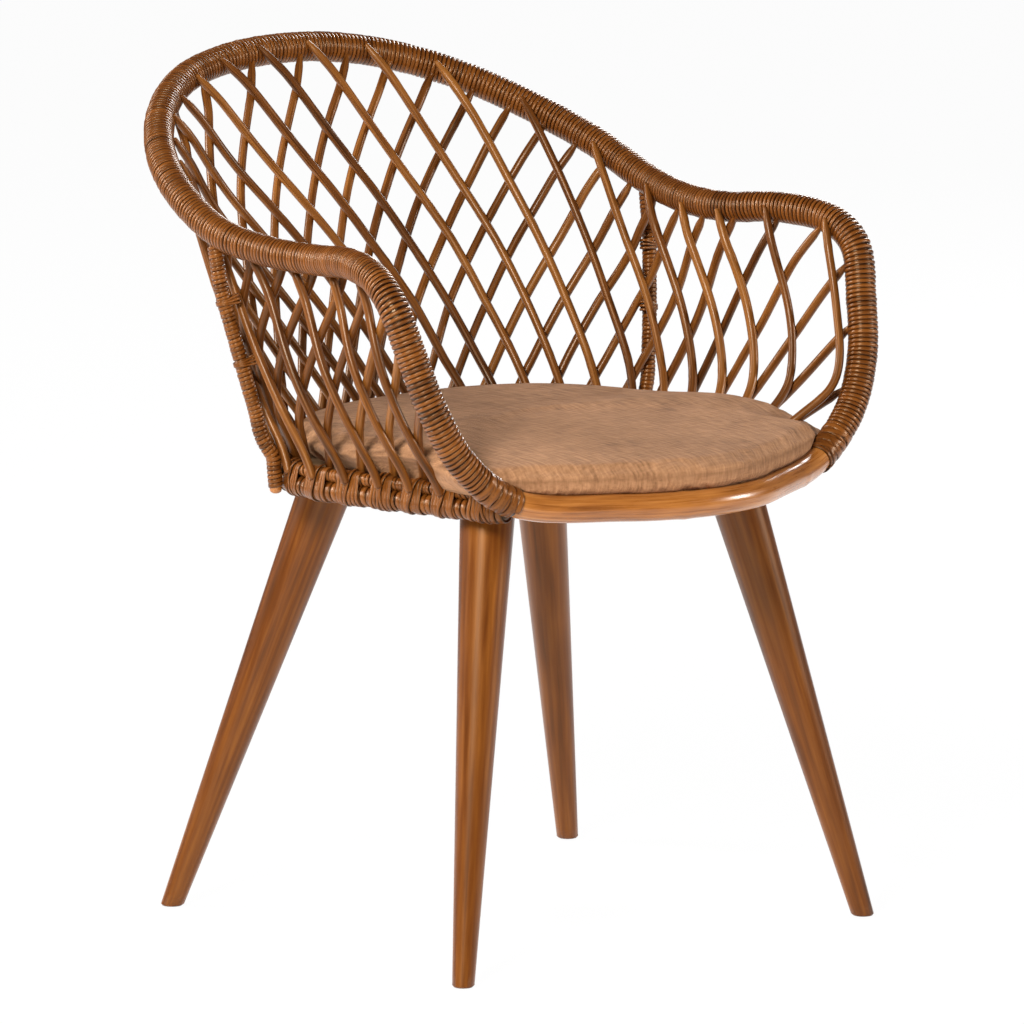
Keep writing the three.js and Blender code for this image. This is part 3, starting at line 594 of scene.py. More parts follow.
rodLook = {"light": (0.26, 0.094, 0.017), "mid": (0.115, 0.033, 0.0045), "dark": (0.020, 0.005, 0.001),
           "roughness": 0.36, "coat": 0.10, "gloss": 0.34, "tint": (1.0, 0.68, 0.40), "fibre": 1.0}
railLook = {"light": (0.45, 0.175, 0.038), "mid": (0.30, 0.100, 0.016), "dark": (0.12, 0.032, 0.005),
            "roughness": 0.27, "coat": 0.35, "gloss": 0.5, "tint": (1, 0.9, 0.8), "fibre": 1.0}
legLook = {"light": (0.205, 0.064, 0.008), "mid": (0.110, 0.028, 0.003), "dark": (0.036, 0.008, 0.001),
           "roughness": 0.32, "coat": 0.10, "gloss": 0.42, "tint": (1.0, 0.68, 0.40), "fibre": 2.5}


def woodFinish(name, look):
    # colour = long streaks and soft blotches, shifted by each piece's own tone; fibre lengthens the streaks
    f = Finish(name, look["roughness"], look["coat"], gloss=look["gloss"], tint=look["tint"])
    where, tone = f.attribute("where", 1), f.attribute("tone", 2)
    streak = f.noise(f.stretched(where, (2.4, 2.4, 0.10 / look["fibre"])), 2.2, 5)
    blotch = f.noise(f.stretched(where, (0.7, 0.7, 0.16)), 1.0, 2)
    f.colour(f.ramp(streak * 0.6 + blotch * 0.5 + tone * 0.06 - 0.05, look, 0.26, 0.48, 0.70))
    f.rough(look["roughness"] - 0.08 + streak * 0.2)
    f.bump(streak, 0.0005, 0.25)
    return f.material


linenLook = {"light": (0.55, 0.280, 0.135), "mid": (0.365, 0.177, 0.081), "dark": (0.165, 0.071, 0.031)}


def linenFinish(name, look):
    # weave = fine waves along x and y, whose product tints and whose sum raises the cloth; slubs are noise
    # stretched both ways; the seam's ridge gets a painted highlight, the crease under it painted shade
    f = Finish(name, roughness=0.92, sheen=0.06)
    place = f.add("ShaderNodeTexCoord", out="Object")
    x = f.add("ShaderNodeSeparateXYZ", {0: place})
    y, z = f.beside(x, 1), f.beside(x, 2)
    wobble = f.noise(place, 90.0, 2) * 0.0007
    warp = ((x + wobble) * 7200.0).sine()
    weft = ((y + z + wobble) * 6600.0).sine()
    slubX = f.noise(f.stretched(place, (40, 420, 420)), 1.0, 4)
    slubY = f.noise(f.stretched(place, (420, 40, 80)), 1.0, 4)
    soft = f.noise(place, 16.0, 3)
    ridge, creaseAndShade = f.attribute("ridge", 2), f.attribute("creaseAndShade", 2)
    yarn = slubX * 0.28 + slubY * 0.52 + soft * 0.22 + (warp * weft) * 0.05
    # ridge * 0.07 lightens the seam's ridge: a painted highlight
    shade = f.ramp(yarn + ridge * 0.07, look, 0.30, 0.50, 0.70)
    # the crease weight mixes toward the dark colour: painted shade under the seam
    f.colour(f.mixed(creaseAndShade, shade, (*look["dark"], 1)))
    f.bump(warp * 0.2 + weft * 0.2 + slubX * 0.9 + slubY * 1.2, 0.0012, 0.6)
    return f.material


# plywood colours darkened well below plain plywood: painted shade where the board shows in the gap under the
# cushion's edge
plywoodLook = {"colours": ((0.36, 0.22, 0.12), (0.27, 0.155, 0.075)), "grain": (8, 90, 60),
               "roughness": 0.6, "metallic": 0.0}
steelLook = {"colours": ((0.55, 0.55, 0.56), (0.47, 0.47, 0.48)), "grain": (60, 60, 60),
             "roughness": 0.35, "metallic": 1.0}


def plainFinish(name, look):
    # colour = a mix of two by stretched noise
    f = Finish(name, roughness=look["roughness"], metallic=look["metallic"])
    grain = f.noise(f.stretched(f.add("ShaderNodeTexCoord", out="Object"), look["grain"]), 1.0, 4)
    f.colour(f.mixed(grain, *[(*colour, 1) for colour in look["colours"]]))
    return f.material


cane = caneFinish("split_cane", caneLook)
rodWood = woodFinish("rattan_rod_finish", rodLook)
railWood = woodFinish("rattan_rail_finish", railLook)
legWood = woodFinish("leg_wood_finish", legLook)
linen = linenFinish("linen", linenLook)
plywood = plainFinish("plywood_finish", plywoodLook)
steel = plainFinish("steel_finish", steelLook)
print("finishes made")


# Rim: bare rail, wound arms and back

def tubOutward(path):
    # from the tub's middle to the place: never along the pole
    return unit(path - np.array([0, centreY, chair["tubMiddle"]]))


def growthNodes(run, places, length):
    # the sum of e^-((run - place) / length)^2 over the places
    return np.exp(-(((run[:, None] - places[None]) / length) ** 2)).sum(1)


rail = {"bareRadius": 12.5, "sides": 40, "step": 4, "firstNode": 95, "nodeEvery": 190, "nodeLength": 5,
        "nodeRise": 0.55}
railPath = evenly(railLine, rail["step"])
railRun = lengthAlong(railPath)
nodePlaces = np.arange(rail["firstNode"], railRun[-1], rail["nodeEvery"])
railRadius = rail["bareRadius"] + rail["nodeRise"] * growthNodes(railRun, nodePlaces, rail["nodeLength"])
railTube = tube(railPath, railRadius, tubOutward(railPath), rail["sides"], roundEnds=False)
railPiece = meshFrom("front_rail", [railTube], railWood)
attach(railPiece, "root")
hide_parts("rim_pole")

rimWinding = {"radius": 12.75, "pitch": 4.3, "width": 4.1, "thickness": 1.5, "segments": 22, "wobble": 0.16}
rimShadedCore = {"radius": 12.8, "sides": 24, "tone": -7.0, "roundEnds": False}      # the pole between turns, drawn very dark by its low tone: painted shade in the gaps between turns
wrapPath = evenly(wrapLine, chair["windingStep"])
rimCane = meshFrom("rim_winding", [windingOver(wrapPath, tubOutward(wrapPath), **rimWinding)], cane)
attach(rimCane, "root")
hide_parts("rim_binding")
# the core shows only between the turns, where its dark colour is painted shade
rimCore = meshFrom("rim_shaded_core", [tube(wrapPath[::3], outward=tubOutward(wrapPath[::3]), **rimShadedCore)], cane)
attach(rimCore, "root")
print("rim wound")


# Seat ring, tie pole and their lashings

def planOutward(path):
    # from the tub's middle to the place, level
    return unit(np.stack([path[:, 0], path[:, 1] - centreY, 0 * path[:, 0]], -1))


def woundPole(path, winding, inside):
    # the turns of cane and the pole between them, drawn very dark as painted shade in the gaps between turns
    return [windingOver(path, planOutward(path), **winding),
            tube(path[::3], outward=planOutward(path[::3]), **inside)]


ringWinding = {"radius": 8.2, "pitch": 7.2, "width": 7.0, "thickness": 1.4, "segments": 20, "wobble": 0.3}
# the core's very low tone is painted shade in the gaps between the turns
ringShadedCore = {"radius": 8.2, "sides": 20, "tone": -7.0}
ringPath = evenly(ringLine, chair["windingStep"])
ringCane = meshFrom("ring_winding", woundPole(ringPath, ringWinding, ringShadedCore), cane)
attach(ringCane, "root")
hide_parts("seat_ring", "seat_ring_binding")

tieWinding = {"radius": 4.9, "pitch": 4.6, "width": 4.8, "thickness": 1.1, "segments": 16, "wobble": 0.8}
# the core's very low tone is painted shade in the gaps between the turns
tieShadedCore = {"radius": 4.9, "sides": 16, "tone": -6.0}
tieShorter = 8                   # steps by which the tie pole stops short of the ring's ends
tiePath = ringPath[tieShorter:-tieShorter] + up * chair["tieLift"]
tieCane = meshFrom("tie_pole_winding", woundPole(tiePath, tieWinding, tieShadedCore), cane)
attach(tieCane, "root")

lashing = {
    "besideFoot": (-12.4, -8.0, -4.0, 4.0, 8.0, 12.4),    # straight turns, by distance from a rod's foot
    "ringRadius": 9.7, "tieRadius": 6.2,                  # where they lie round the ring and the tie pole
    "overRing": 0.8, "overTie": 2.4,                      # how much higher the slanted turns lie
    "width": 5.0, "widths": (0.85, 1.15), "lean": 0.06, "thickness": 0.9,
    "slantWidth": 3.6, "slant": 0.30, "slants": (0.6, 1.1),
    "crossedEvery": 3,                                    # at every third foot two slanted turns cross
    "ahead": 0.01,                                        # step for the ring's direction
}


def ringPlace(angle):
    # the place of the ring at a plan angle
    radius, height = ringAt(angle)
    return np.stack([radius * np.cos(angle), centreY + radius * np.sin(angle), height], -1)


def feetPlaces(shift):
    # places of the ring beside each rod's foot, and the ring's direction there
    angle = angleAtRun(feetRun + shift)
    place = ringPlace(angle)
    return place, unit(ringPlace(angle + lashing["ahead"]) - place)


loops = []
for shift in lashing["besideFoot"]:
    for place, way in zip(*feetPlaces(shift)):
        width = lashing["width"] * rng.uniform(*lashing["widths"])
        lean = rng.normal(0, lashing["lean"])
        loops.append(belt(place, way, up, lashing["ringRadius"], lashing["tieRadius"], chair["tieLift"],
                          width, lashing["thickness"], lean))
slantRing, slantTie = lashing["ringRadius"] + lashing["overRing"], lashing["tieRadius"] + lashing["overTie"]
for number, (place, way) in enumerate(zip(*feetPlaces(0))):
    for sign in ((-1, 1) if number % lashing["crossedEvery"] == 0 else (1,)):
        lean = sign * lashing["slant"] * rng.uniform(*lashing["slants"])
        loops.append(belt(place, way, up, slantRing, slantTie, chair["tieLift"],
                          lashing["slantWidth"], lashing["thickness"], lean))
lashings = meshFrom("ring_lashings", loops, cane, closedAlong=True)
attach(lashings, "root")
print("ring bound")


# Lattice rods

rod = {
    "sides": 12, "thicknesses": (0.94, 1.04), "tone": 1.0,
    "firstNode": (20, 90), "nodes": 4, "nodeEvery": 150, "nodeLength": 3.2, "nodeRise": 0.05,
    "tipLength": 16, "tipThinner": 0.45,
}


def rodsOf(side):
    # radius = rod's own thickness (1 + rise at its growth nodes), tapered over the tip
    grids = []
    for index in range(lattice["rods"]):
        line = rodLine(index, side)
        if line is None:
            continue
        run = lengthAlong(line)
        nodes = rng.uniform(*rod["firstNode"]) + rod["nodeEvery"] * np.arange(rod["nodes"])
        swell = growthNodes(run, nodes, rod["nodeLength"])
        tip = 1 - rod["tipThinner"] * smooth(run, run[-1] - rod["tipLength"], run[-1])
        radius = lattice["radius"] * (1 + rod["nodeRise"] * swell) * tip * rng.uniform(*rod["thicknesses"])
        grids.append(tube(line, radius, planOutward(line), rod["sides"], rng.normal(0, rod["tone"])))
    return grids


innerRods = meshFrom("inner_rods", rodsOf(-1), rodWood)
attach(innerRods, "root")
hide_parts(*[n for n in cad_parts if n.startswith("inner_rod")])
outerRods = meshFrom("outer_rods", rodsOf(1), rodWood)
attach(outerRods, "root")
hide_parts(*[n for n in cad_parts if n.startswith("outer_lattice")])
print("lattice laid")


# Posts and corner lashings

post = {
    "radius": 5.6, "sides": 24, "tone": 0.3, "step": 2.0,
    "planAngle": math.radians(23.5),
    "sweep": math.radians(4.83),         # how far the post's top is turned to the back of the tub
    "heel": 9, "top": 230, "stations": 90,
    "offRing": 17.3, "offTie": 18.8, "offRods": 15.4,    # distance from the wall, from the foot upward
    "rodsFrom": 28, "rodsAt": 60, "tuck": 9, "tuckFrom": 60, "topGap": 1.5,
    "bareFoot": 7,
}
postTurns = {"radius": 5.8, "pitch": 4.0, "width": 4.4, "thickness": 1.1, "segments": 18, "wobble": 0.25}
postBelt = {"lower": 7.2, "upper": 4.1, "apart": 10.5, "width": 2.7, "thickness": 0.8}
tying = {"shares": (0.52, 0.78), "steps": (-2.5, 0, 2.5), "leanPerStep": 0.05}     # two ties of three turns


def postLine(mirrored):
    # outside the wall: up past ring, tie pole and rods, then in under the rim until it meets the cane
    heights = np.linspace(-chair["tieLift"] - post["heel"], post["top"], post["stations"])
    angles = post["planAngle"] + post["sweep"] * smooth(heights, 0, post["top"])
    angles = math.pi - angles if mirrored else angles
    offset = (post["offRing"] + (post["offTie"] - post["offRing"]) * smooth(heights, -chair["tieLift"], 0)
              - (post["offTie"] - post["offRods"]) * smooth(heights, post["rodsFrom"], post["rodsAt"])
              - post["tuck"] * smooth(heights - roomAt(angles), -post["tuckFrom"], 0))
    line = wall(angles, np.maximum(heights, 0)) + wallNormal(angles, heights) * offset[:, None]
    line[:, 2] += np.minimum(heights, 0)
    reached = nearestOn(wrapLine, line)[1] < chair["rimWrap"] + post["topGap"]
    return evenly(softened(line[:np.argmax(reached) + 1], 4), post["step"])


postGrids, postCane, postBelts = [], [], []
for mirrored in (False, True):
    line = postLine(mirrored)
    postGrids.append(tube(line, post["radius"], planOutward(line), post["sides"], post["tone"]))
    wound = line[lengthAlong(line) > post["bareFoot"]]
    postCane.append(windingOver(wound, planOutward(wound), **postTurns))
    for share in tying["shares"]:
        spot = int(share * (len(wound) - 1))
        way = unit(wound[spot + 1] - wound[spot - 1])
        inward = unit(np.cross(way, np.cross(-planOutward(wound)[spot], way)))
        for step in tying["steps"]:
            lean = step * tying["leanPerStep"]
            postBelts.append(belt(wound[spot] + way * step, way, inward, lean=lean, **postBelt))
posts = meshFrom("posts", postGrids, railWood)
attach(posts, "root")
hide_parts("post_left", "post_right")
postWinding = meshFrom("post_winding", postCane, cane)
postTies = meshFrom("post_ties", postBelts, cane, closedAlong=True)
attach(postTies, "root")
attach(postWinding, "root")
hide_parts("post_binding_left", "post_binding_right")

cornerTurns = {"radius": 13.8, "pitch": 11.5, "width": 6.0, "thickness": 0.9, "segments": 26, "wobble": 0.4}
corner = {"reach": 40, "leans": (-4.5, 4.5)}     # a second layer of cane that crosses itself
cornerCane = []
for path in (wrapPath, wrapPath[::-1]):
    stretch = path[lengthAlong(path) < corner["reach"]]
    for lean in corner["leans"]:
        cornerCane.append(windingOver(stretch, tubOutward(stretch), lean=lean, **cornerTurns))
corners = meshFrom("corner_lashings", cornerCane, cane)
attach(corners, "root")
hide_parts("corner_binding_left", "corner_binding_right")
print("posts and corners bound")


# Legs

leg = {
    "footX": 237, "footRadius": 10.2, "topRadius": 25.2, "topHeight": 409, "edge": 1.6,
    "ends": {"front": ((144, -146), -227), "rear": ((122, 112), 208)},    # the top's place, the foot's Y
    "belowRing": 8.7,            # the underside of the seat board, from the ring's middle
    "sides": 96, "rings": 41, "pattern": 26, "tone": 0.6, "sharp": math.radians(50),
}


def legPiece(name, node, top, foot):
    # a round taper about its own slanted axis, radius from foot to top in a straight line; its end rings are
    # slid along the axis onto the floor, the rounded edge's height and the underside of the seat
    top, foot = np.array([*top, leg["topHeight"]], float), np.array([*foot, 0.0])
    axis, length = unit(top - foot), np.linalg.norm(top - foot)
    side = unit(np.cross(axis, up))
    other = np.cross(axis, side)
    turn = 2 * math.pi * np.arange(leg["sides"]) / leg["sides"]
    ring = np.cos(turn)[:, None] * side + np.sin(turn)[:, None] * other
    radius = np.array([leg["footRadius"] - leg["edge"], leg["footRadius"], leg["topRadius"]])[:, None, None]
    ends = foot + axis * np.array([0, 0, length])[:, None, None] + ring * radius
    underside = chair["ringHeight"] - ends[2, :, 1] * math.tan(chair["seatTilt"]) - leg["belowRing"]
    heights = np.stack(np.broadcast_arrays(0.0, leg["edge"], underside))
    ends = ends + axis * ((heights - ends[..., 2]) / axis[2])[..., None]
    steps = np.linspace(0, 1, leg["rings"])[:, None, None]
    grid = np.vstack([ends[:1], ends[1] * (1 - steps) + ends[2] * steps])
    coord = np.stack([grid @ way / leg["pattern"] for way in (side, other, axis)], -1)
    piece = meshFrom(name, [(grid, rng.normal(0, leg["tone"]), coord)], legWood)
    edge = piece.modifiers.new("edge", "EDGE_SPLIT")
    edge.split_angle = leg["sharp"]
    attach(piece, "root")
    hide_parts(node)


for endName, ((topX, topY), footY) in leg["ends"].items():
    for sideName, s in (("left", -1), ("right", 1)):
        node = f"leg_{endName}_{sideName}"
        legPiece(f"{node}_turned", node, (s * topX, topY), (s * leg["footX"], footY))
for node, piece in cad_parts.items():
    if node == "seat_board" or node.startswith(("leg_plate", "leg_bolt")):
        piece.data.materials.clear()
        piece.data.materials.append(plywood if node == "seat_board" else steel)
print("legs turned")


# Cushion

cushion = {
    "rear": [(218, -198), (209, -156), (205, -95), (203, -25), (195, 38), (176, 98), (138, 148), (76, 178),
             (0, 187)],
    "front": [(218, -198), (180, -230), (136, -260), (90, -285), (45, -305), (0, -313)],
    "outlinePlaces": 500, "outlineStep": 5.0,
    "boardTop": 9.6,                                                      # over the ring's middle
    "seam": 24, "frontSeamRise": 1.5, "tipDrop": 4.5, "sideRise": 5,      # the seam over the board
    "crown": 16, "sideCrown": 4, "under": 20, "frontUnder": 3,            # the pad over and under the seam
    "frontFrom": 200, "frontAt": 314, "softFrom": 60, "softAt": 300,      # where the front begins
    "sideMiddle": -108, "sideReach": 80, "tipReach": 58, "tipStart": 0.3, "tipThin": 0.12,
    "boxy": 5.5, "boxyFront": -3, "boxySide": 2, "boxyUnder": 8,          # power p of the profile
    "round": 0.52, "roundSide": -0.08, "roundUnder": -0.32,               # power q of the profile
    "rings": 30, "innermost": 0.03, "thinWidth": 0.3, "liftPower": 4,
    "press": 3, "tipRoom": 45, "tipRoomFrom": 105, "tipRoomAt": 165,      # how far it presses on the lattice
    "railGap": 0.3, "rimGap": 0.5, "rimStretch": 110,
    "seamStep": 4.0, "ridge": 1.6, "ridgeWidth": 3.0,
    "creaseShade": 0.5, "creaseDepth": 1.2, "creaseFrom": 0.5, "creaseAt": 2.5,
    "pucker": 0.5, "puckerReach": 16, "puckerFrom": 2, "puckerAt": 7,
    "puckerLength": 1.9, "driftSize": 2.0, "driftLength": 23.0, "fadeSize": 0.4, "fadeLength": 37.0,
    "voxel": 0.0037, "pressure": 4.0, "cap": 0.005, "frames": 20, "quality": 6, "mass": 0.3,
    "tension": 22, "compression": 10, "bending": 0.4, "shrink": -0.012,
}


def cushionOutline():
    # two smooth rows that meet in the front tips
    rows = []
    for half, order in ((cushion["rear"], 1), (cushion["front"], -1)):
        half = np.array(half, float) * (order, 1)
        row = np.vstack([half[:-1], (half * (-1, 1))[::-1]])
        line = throughPoints(np.c_[row, 0 * row[:, 0]], cushion["outlinePlaces"])
        rows.append(evenly(line, cushion["outlineStep"])[:-1])
    return np.vstack(rows)[:, :2]


def sideways(plan):
    # 1 at the fullest place of the sides, falling off to front and back as e^-(distance / reach)^2
    return np.exp(-((plan[:, 1] - cushion["sideMiddle"]) / cushion["sideReach"]) ** 2)


def fromTip(plan):
    # near 0 at the front tips, 1 from the reach onward
    tip = np.array(cushion["front"][0], float)
    far = np.hypot(np.abs(plan[:, 0]) - tip[0], plan[:, 1] - tip[1])
    return smooth(far, -cushion["tipReach"] * cushion["tipStart"], cushion["tipReach"])


def seamLift(plan):
    # height of the seam over the board: raised along the front and the sides, lowered to the tips
    forward = smooth(-plan[:, 1], cushion["frontFrom"], cushion["frontAt"])
    return (cushion["seam"] + cushion["frontSeamRise"] * forward + cushion["sideRise"] * sideways(plan)
            - cushion["tipDrop"] * (1 - fromTip(plan)))


def seamLine():
    # the outline at the seam's height over the tilted board
    plan = cushionOutline()
    return seatPlace(plan[:, 0], plan[:, 1], cushion["boardTop"] + seamLift(plan))


def cushionPad():
    # rings of the seam drawn in by share, from the middle below over the seam to the middle above:
    # height over the seam = size (1 - share^p)^q, thinner at the front tips
    seam = seamLine()
    centre = np.array([0.0, centreY, 0])
    soft, beside = smooth(-seam[:, 1], cushion["softFrom"], cushion["softAt"]), sideways(seam)
    thin = cushion["tipThin"] + (1 - cushion["tipThin"]) * fromTip(seam)
    above = (cushion["crown"] + cushion["sideCrown"] * beside,
             cushion["boxy"] + cushion["boxyFront"] * soft + cushion["boxySide"] * beside,
             cushion["round"] + cushion["roundSide"] * beside)
    below = (-(cushion["under"] + cushion["frontUnder"] * soft),
             cushion["boxy"] + cushion["boxyUnder"] * soft,
             cushion["round"] + cushion["roundUnder"] * soft)
    shares = np.sin(np.linspace(cushion["innermost"], 1, cushion["rings"]) * math.pi / 2)
    rings = []
    for share, (size, p, q) in [(t, below) for t in shares] + [(t, above) for t in shares[-2::-1]]:
        rise = size * np.clip(1 - share ** p, 0, 1) ** q
        keep = thin + (1 - thin) * np.clip((1 - share) / cushion["thinWidth"], 0, 1)
        place = centre + (seam - centre) * (share, share, 0)
        lift = cushion["seam"] + (seamLift(seam) - cushion["seam"]) * share ** cushion["liftPower"]
        place[:, 2] = seatPlace(place[:, 0], place[:, 1], cushion["boardTop"] + lift)[:, 2] + rise * keep
        rings.append(place)
    return np.stack(rings)


def insideLattice(places):
    # places beyond the inner rods' inner side are drawn in along their plan radius, but not at the front tips
    angle = planAngle(places)
    height = places[:, 2] - ringAt(angle)[1] - chair["tieLift"]
    middle = wall(angle, np.maximum(height, 0))
    room = np.hypot(middle[:, 0], middle[:, 1] - centreY) - besideWall(height) - lattice["radius"]
    tips = smooth(-places[:, 1], cushion["tipRoomFrom"], cushion["tipRoomAt"])
    room = room + cushion["press"] + cushion["tipRoom"] * tips
    scale = np.minimum(1, room / np.maximum(np.hypot(places[:, 0], places[:, 1] - centreY), 1))
    scale = np.where((angle > endAngle) & (angle < math.pi - endAngle), scale, 1)
    return np.stack([places[:, 0] * scale, centreY + (places[:, 1] - centreY) * scale, places[:, 2]], -1)


def seamed(places):
    # a knife edge along the seam: outward by ridge e^-(far / width)^2, with small puckers that fade with
    # distance, and a crease two widths under it
    seam = seamLine()
    seam = evenly(np.vstack([seam, seam[:1]]), cushion["seamStep"])
    index = np.argmin(np.sum((places[:, None] - seam[None]) ** 2, -1), 1)
    far = np.linalg.norm(places - seam[index], axis=1)
    run = lengthAlong(seam)[index]
    width = cushion["ridgeWidth"]
    drift = cushion["driftSize"] * np.sin(run / cushion["driftLength"])
    fade = 1 - cushion["fadeSize"] + cushion["fadeSize"] * np.sin(run / cushion["fadeLength"])
    waves = np.sin(run / cushion["puckerLength"] + drift) * fade
    pucker = cushion["pucker"] * waves * np.exp(-(far / cushion["puckerReach"]) ** 2)
    pucker = pucker * smooth(far, cushion["puckerFrom"], cushion["puckerAt"])
    below = smooth(seam[index][:, 2] - places[:, 2], cushion["creaseFrom"], cushion["creaseAt"])
    ridge = np.exp(-(far / width) ** 2)
    creaseAndShade = cushion["creaseShade"] * below * np.exp(-((far - 2 * width) / width) ** 2)
    push = cushion["ridge"] * ridge + pucker - cushion["creaseDepth"] * creaseAndShade
    # the ridge and crease weights go out with the places, also as masks for the linen's painted highlight and
    # painted shade
    return places + planOutward(places) * push[:, None], ridge, creaseAndShade


def coordinates(piece):
    # the places of a piece's vertices as rows of three
    flat = np.zeros(len(piece.data.vertices) * 3, np.float32)
    piece.data.vertices.foreach_get("co", flat)
    return flat.reshape(-1, 3).astype(float)


def applyAll(piece, *modifiers):
    # the piece's mesh becomes what its modifiers make of it
    for kind, values in modifiers:
        modifier = piece.modifiers.new(kind.lower(), kind)
        for key, value in values.items():
            setattr(modifier, key, value)
    made = bpy.data.meshes.new_from_object(piece.evaluated_get(bpy.context.evaluated_depsgraph_get()))
    piece.modifiers.clear()
    piece.data = made
    made.materials.clear()
    made.materials.append(linen)


def blownUp(piece):
    # cloth with pressure and without weight, stepped through its frames and applied
    cloth = piece.modifiers.new("cloth", "CLOTH")
    settings = cloth.settings
    settings.quality, settings.mass = cushion["quality"], cushion["mass"]
    settings.tension_stiffness, settings.compression_stiffness = cushion["tension"], cushion["compression"]
    settings.bending_stiffness = cushion["bending"]
    settings.use_pressure, settings.uniform_pressure_force = True, cushion["pressure"]
    settings.shrink_min = cushion["shrink"]
    settings.effector_weights.gravity = 0
    cloth.point_cache.frame_start, cloth.point_cache.frame_end = 1, cushion["frames"]
    for number in range(1, cushion["frames"] + 1):
        bpy.context.scene.frame_set(number)
    applyAll(piece)
    bpy.context.scene.frame_set(1)


def puffed(piece):
    # evened into small cells and blown up, where a move longer than the cap is cut to it; then laid on the
    # board, inside the lattice and clear of rail and rim
    applyAll(piece, ("REMESH", {"mode": "VOXEL", "voxel_size": cushion["voxel"]}))
    before = coordinates(piece)
    blownUp(piece)
    move = coordinates(piece) - before
    size = np.linalg.norm(move, axis=1, keepdims=True)
    places = (before + move * np.minimum(1, cushion["cap"] / np.maximum(size, 1e-9))) * 1000
    places = places - (0, chair["planShift"], 0)
    board = seatPlace(places[:, 0], places[:, 1], cushion["boardTop"])[:, 2]
    places[:, 2] = np.maximum(places[:, 2], board)
    places, ridge, creaseAndShade = seamed(insideLattice(places))
    places = clearOf(railLine, rail["bareRadius"] + cushion["railGap"], places)
    for start in (bareFrom - cushion["rimStretch"], bareTo):
        stretch = rimLoop[start:start + cushion["rimStretch"] + 1]
        places = clearOf(stretch, chair["rimWrap"] + cushion["rimGap"], places)
    places = (places + (0, chair["planShift"], 0)) * 0.001
    piece.data.vertices.foreach_set("co", places.astype(np.float32).ravel())
    # masks for the painted highlight on the seam's ridge and the painted shade in its crease
    for name, values in (("ridge", ridge), ("creaseAndShade", creaseAndShade)):
        attribute = piece.data.attributes.new(name, "FLOAT", "POINT")
        attribute.data.foreach_set("value", values.astype(np.float32))
    piece.data.update()


padGrid = cushionPad()
pad = meshFrom("cushion_pad", [(padGrid, 0.0, padGrid * 0)], linen)
puffed(pad)
pad.data.polygons.foreach_set("use_smooth", np.ones(len(pad.data.polygons), bool))
smoothing = pad.modifiers.new("smoothing", "SUBSURF")
smoothing.levels = smoothing.render_levels = 1
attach(pad, "root")
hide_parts("seat_cushion")
print("cushion filled")


# Floor, light and camera

floor = {"halfSize": 14.0, "level": -0.001, "colour": (0.9, 0.9, 0.9), "white": 0.965}


def stagePiece(name, finish):
    # a level square about the origin
    size, level = floor["halfSize"], floor["level"]
    places = [(-size, -size, level), (size, -size, level), (size, size, level), (-size, size, level)]
    mesh = bpy.data.meshes.new(name)
    mesh.from_pydata(places, [], [(0, 1, 2, 3)])
    mesh.materials.append(finish)
    piece = bpy.data.objects.new(name, mesh)
    bpy.context.collection.objects.link(piece)


def floorFinish():
    # pale and matt; rays of the camera see it mostly as white, so that the soft shadow stays
    f = Finish("floor_finish", roughness=0.9)
    f.shader.inputs["Base Color"].default_value = (*floor["colour"], 1)
    lit = Wire(f, f.shader.outputs[0])
    white = f.add("ShaderNodeEmission", {"Color": (1, 1, 1, 1)})
    seen = f.add("ShaderNodeLightPath", out="Is Camera Ray")
    blend = f.add("ShaderNodeMixShader", {0: seen * floor["white"], 1: lit, 2: white})
    f.links.new(blend.socket, f.nodes["Material Output"].inputs[0])
    return f.material


stagePiece("floor", floorFinish())

studio = {
    "worldLevel": 0.09,
    "aim": (0, 0, 0.45),
    "lamps": {                   # place, power and size
        "key": ((-2.9, -1.7, 2.4), 190, 0.9), "fill": ((2.4, -2.3, 1.3), 70, 0.8),
        "back": ((-2.2, 2.2, 1.8), 110, 0.9), "side": ((3.0, 1.7, 1.9), 75, 0.9),
    },
}


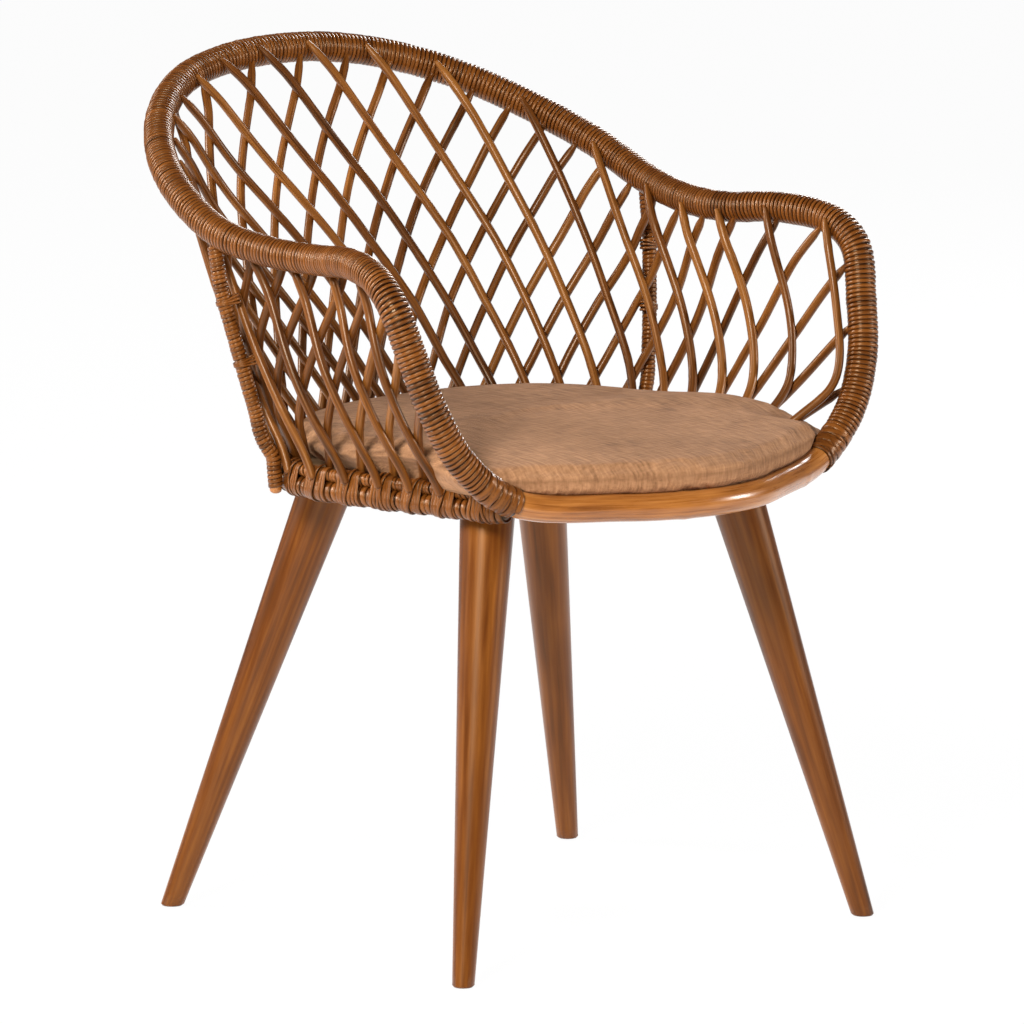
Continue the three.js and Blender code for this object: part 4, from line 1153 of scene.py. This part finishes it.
def facing(direction):
    # the turn that points -Z along a direction, with Y upright
    return Vector(direction).to_track_quat("-Z", "Y").to_euler()


# The world lights the chair at its level, and is white to the camera and through glass
world = bpy.data.worlds.new("studio")
bpy.context.scene.world = world
world.use_nodes = True
sky = Tree(world.node_tree)
backdrop = sky.nodes["Background"]
backdrop.inputs["Color"].default_value = (1, 1, 1, 1)
cameraRay = sky.add("ShaderNodeLightPath", out="Is Camera Ray")
seenDirect = cameraRay.sum("MAXIMUM", cameraRay, sky.beside(cameraRay, "Is Transmission Ray"))
level = sky.add("ShaderNodeMapRange", {"Value": seenDirect, "To Min": studio["worldLevel"], "To Max": 1.0})
sky.links.new(level.socket, backdrop.inputs["Strength"])

for name, (place, power, size) in studio["lamps"].items():
    lamp = bpy.data.lights.new(name, "AREA")
    lamp.energy, lamp.size = power, size
    holder = bpy.data.objects.new(name, lamp)
    holder.location = place
    holder.rotation_euler = facing(np.array(studio["aim"]) - np.array(place))
    bpy.context.collection.objects.link(holder)

view = {
    "azimuth": -38.77, "elevation": 10.75, "distance": 11.416, "targetHeight": 0.3748,
    "imageSize": 1024, "focalPixels": 12352, "centreX": 510.4, "centreY": 512.0,      # in pixels
    "sensor": 36, "clipEnd": 60,
}
camera = bpy.data.objects.new("camera", bpy.data.cameras.new("camera"))
bpy.context.collection.objects.link(camera)
bpy.context.scene.camera = camera
a, e = math.radians(view["azimuth"]), math.radians(view["elevation"])
back = np.array([math.sin(a) * math.cos(e), -math.cos(a) * math.cos(e), math.sin(e)])
target = np.array([0, chair["planShift"] * 0.001, view["targetHeight"]])
camera.location = target + back * view["distance"]
camera.rotation_euler = facing(-back)
camera.data.sensor_width = view["sensor"]
camera.data.lens = view["focalPixels"] / view["imageSize"] * view["sensor"]
camera.data.shift_x = (view["imageSize"] / 2 - view["centreX"]) / view["imageSize"]
camera.data.shift_y = (view["centreY"] - view["imageSize"] / 2) / view["imageSize"]
camera.data.clip_end = view["clipEnd"]
bpy.context.scene.view_settings.view_transform = "Standard"
print("camera set")
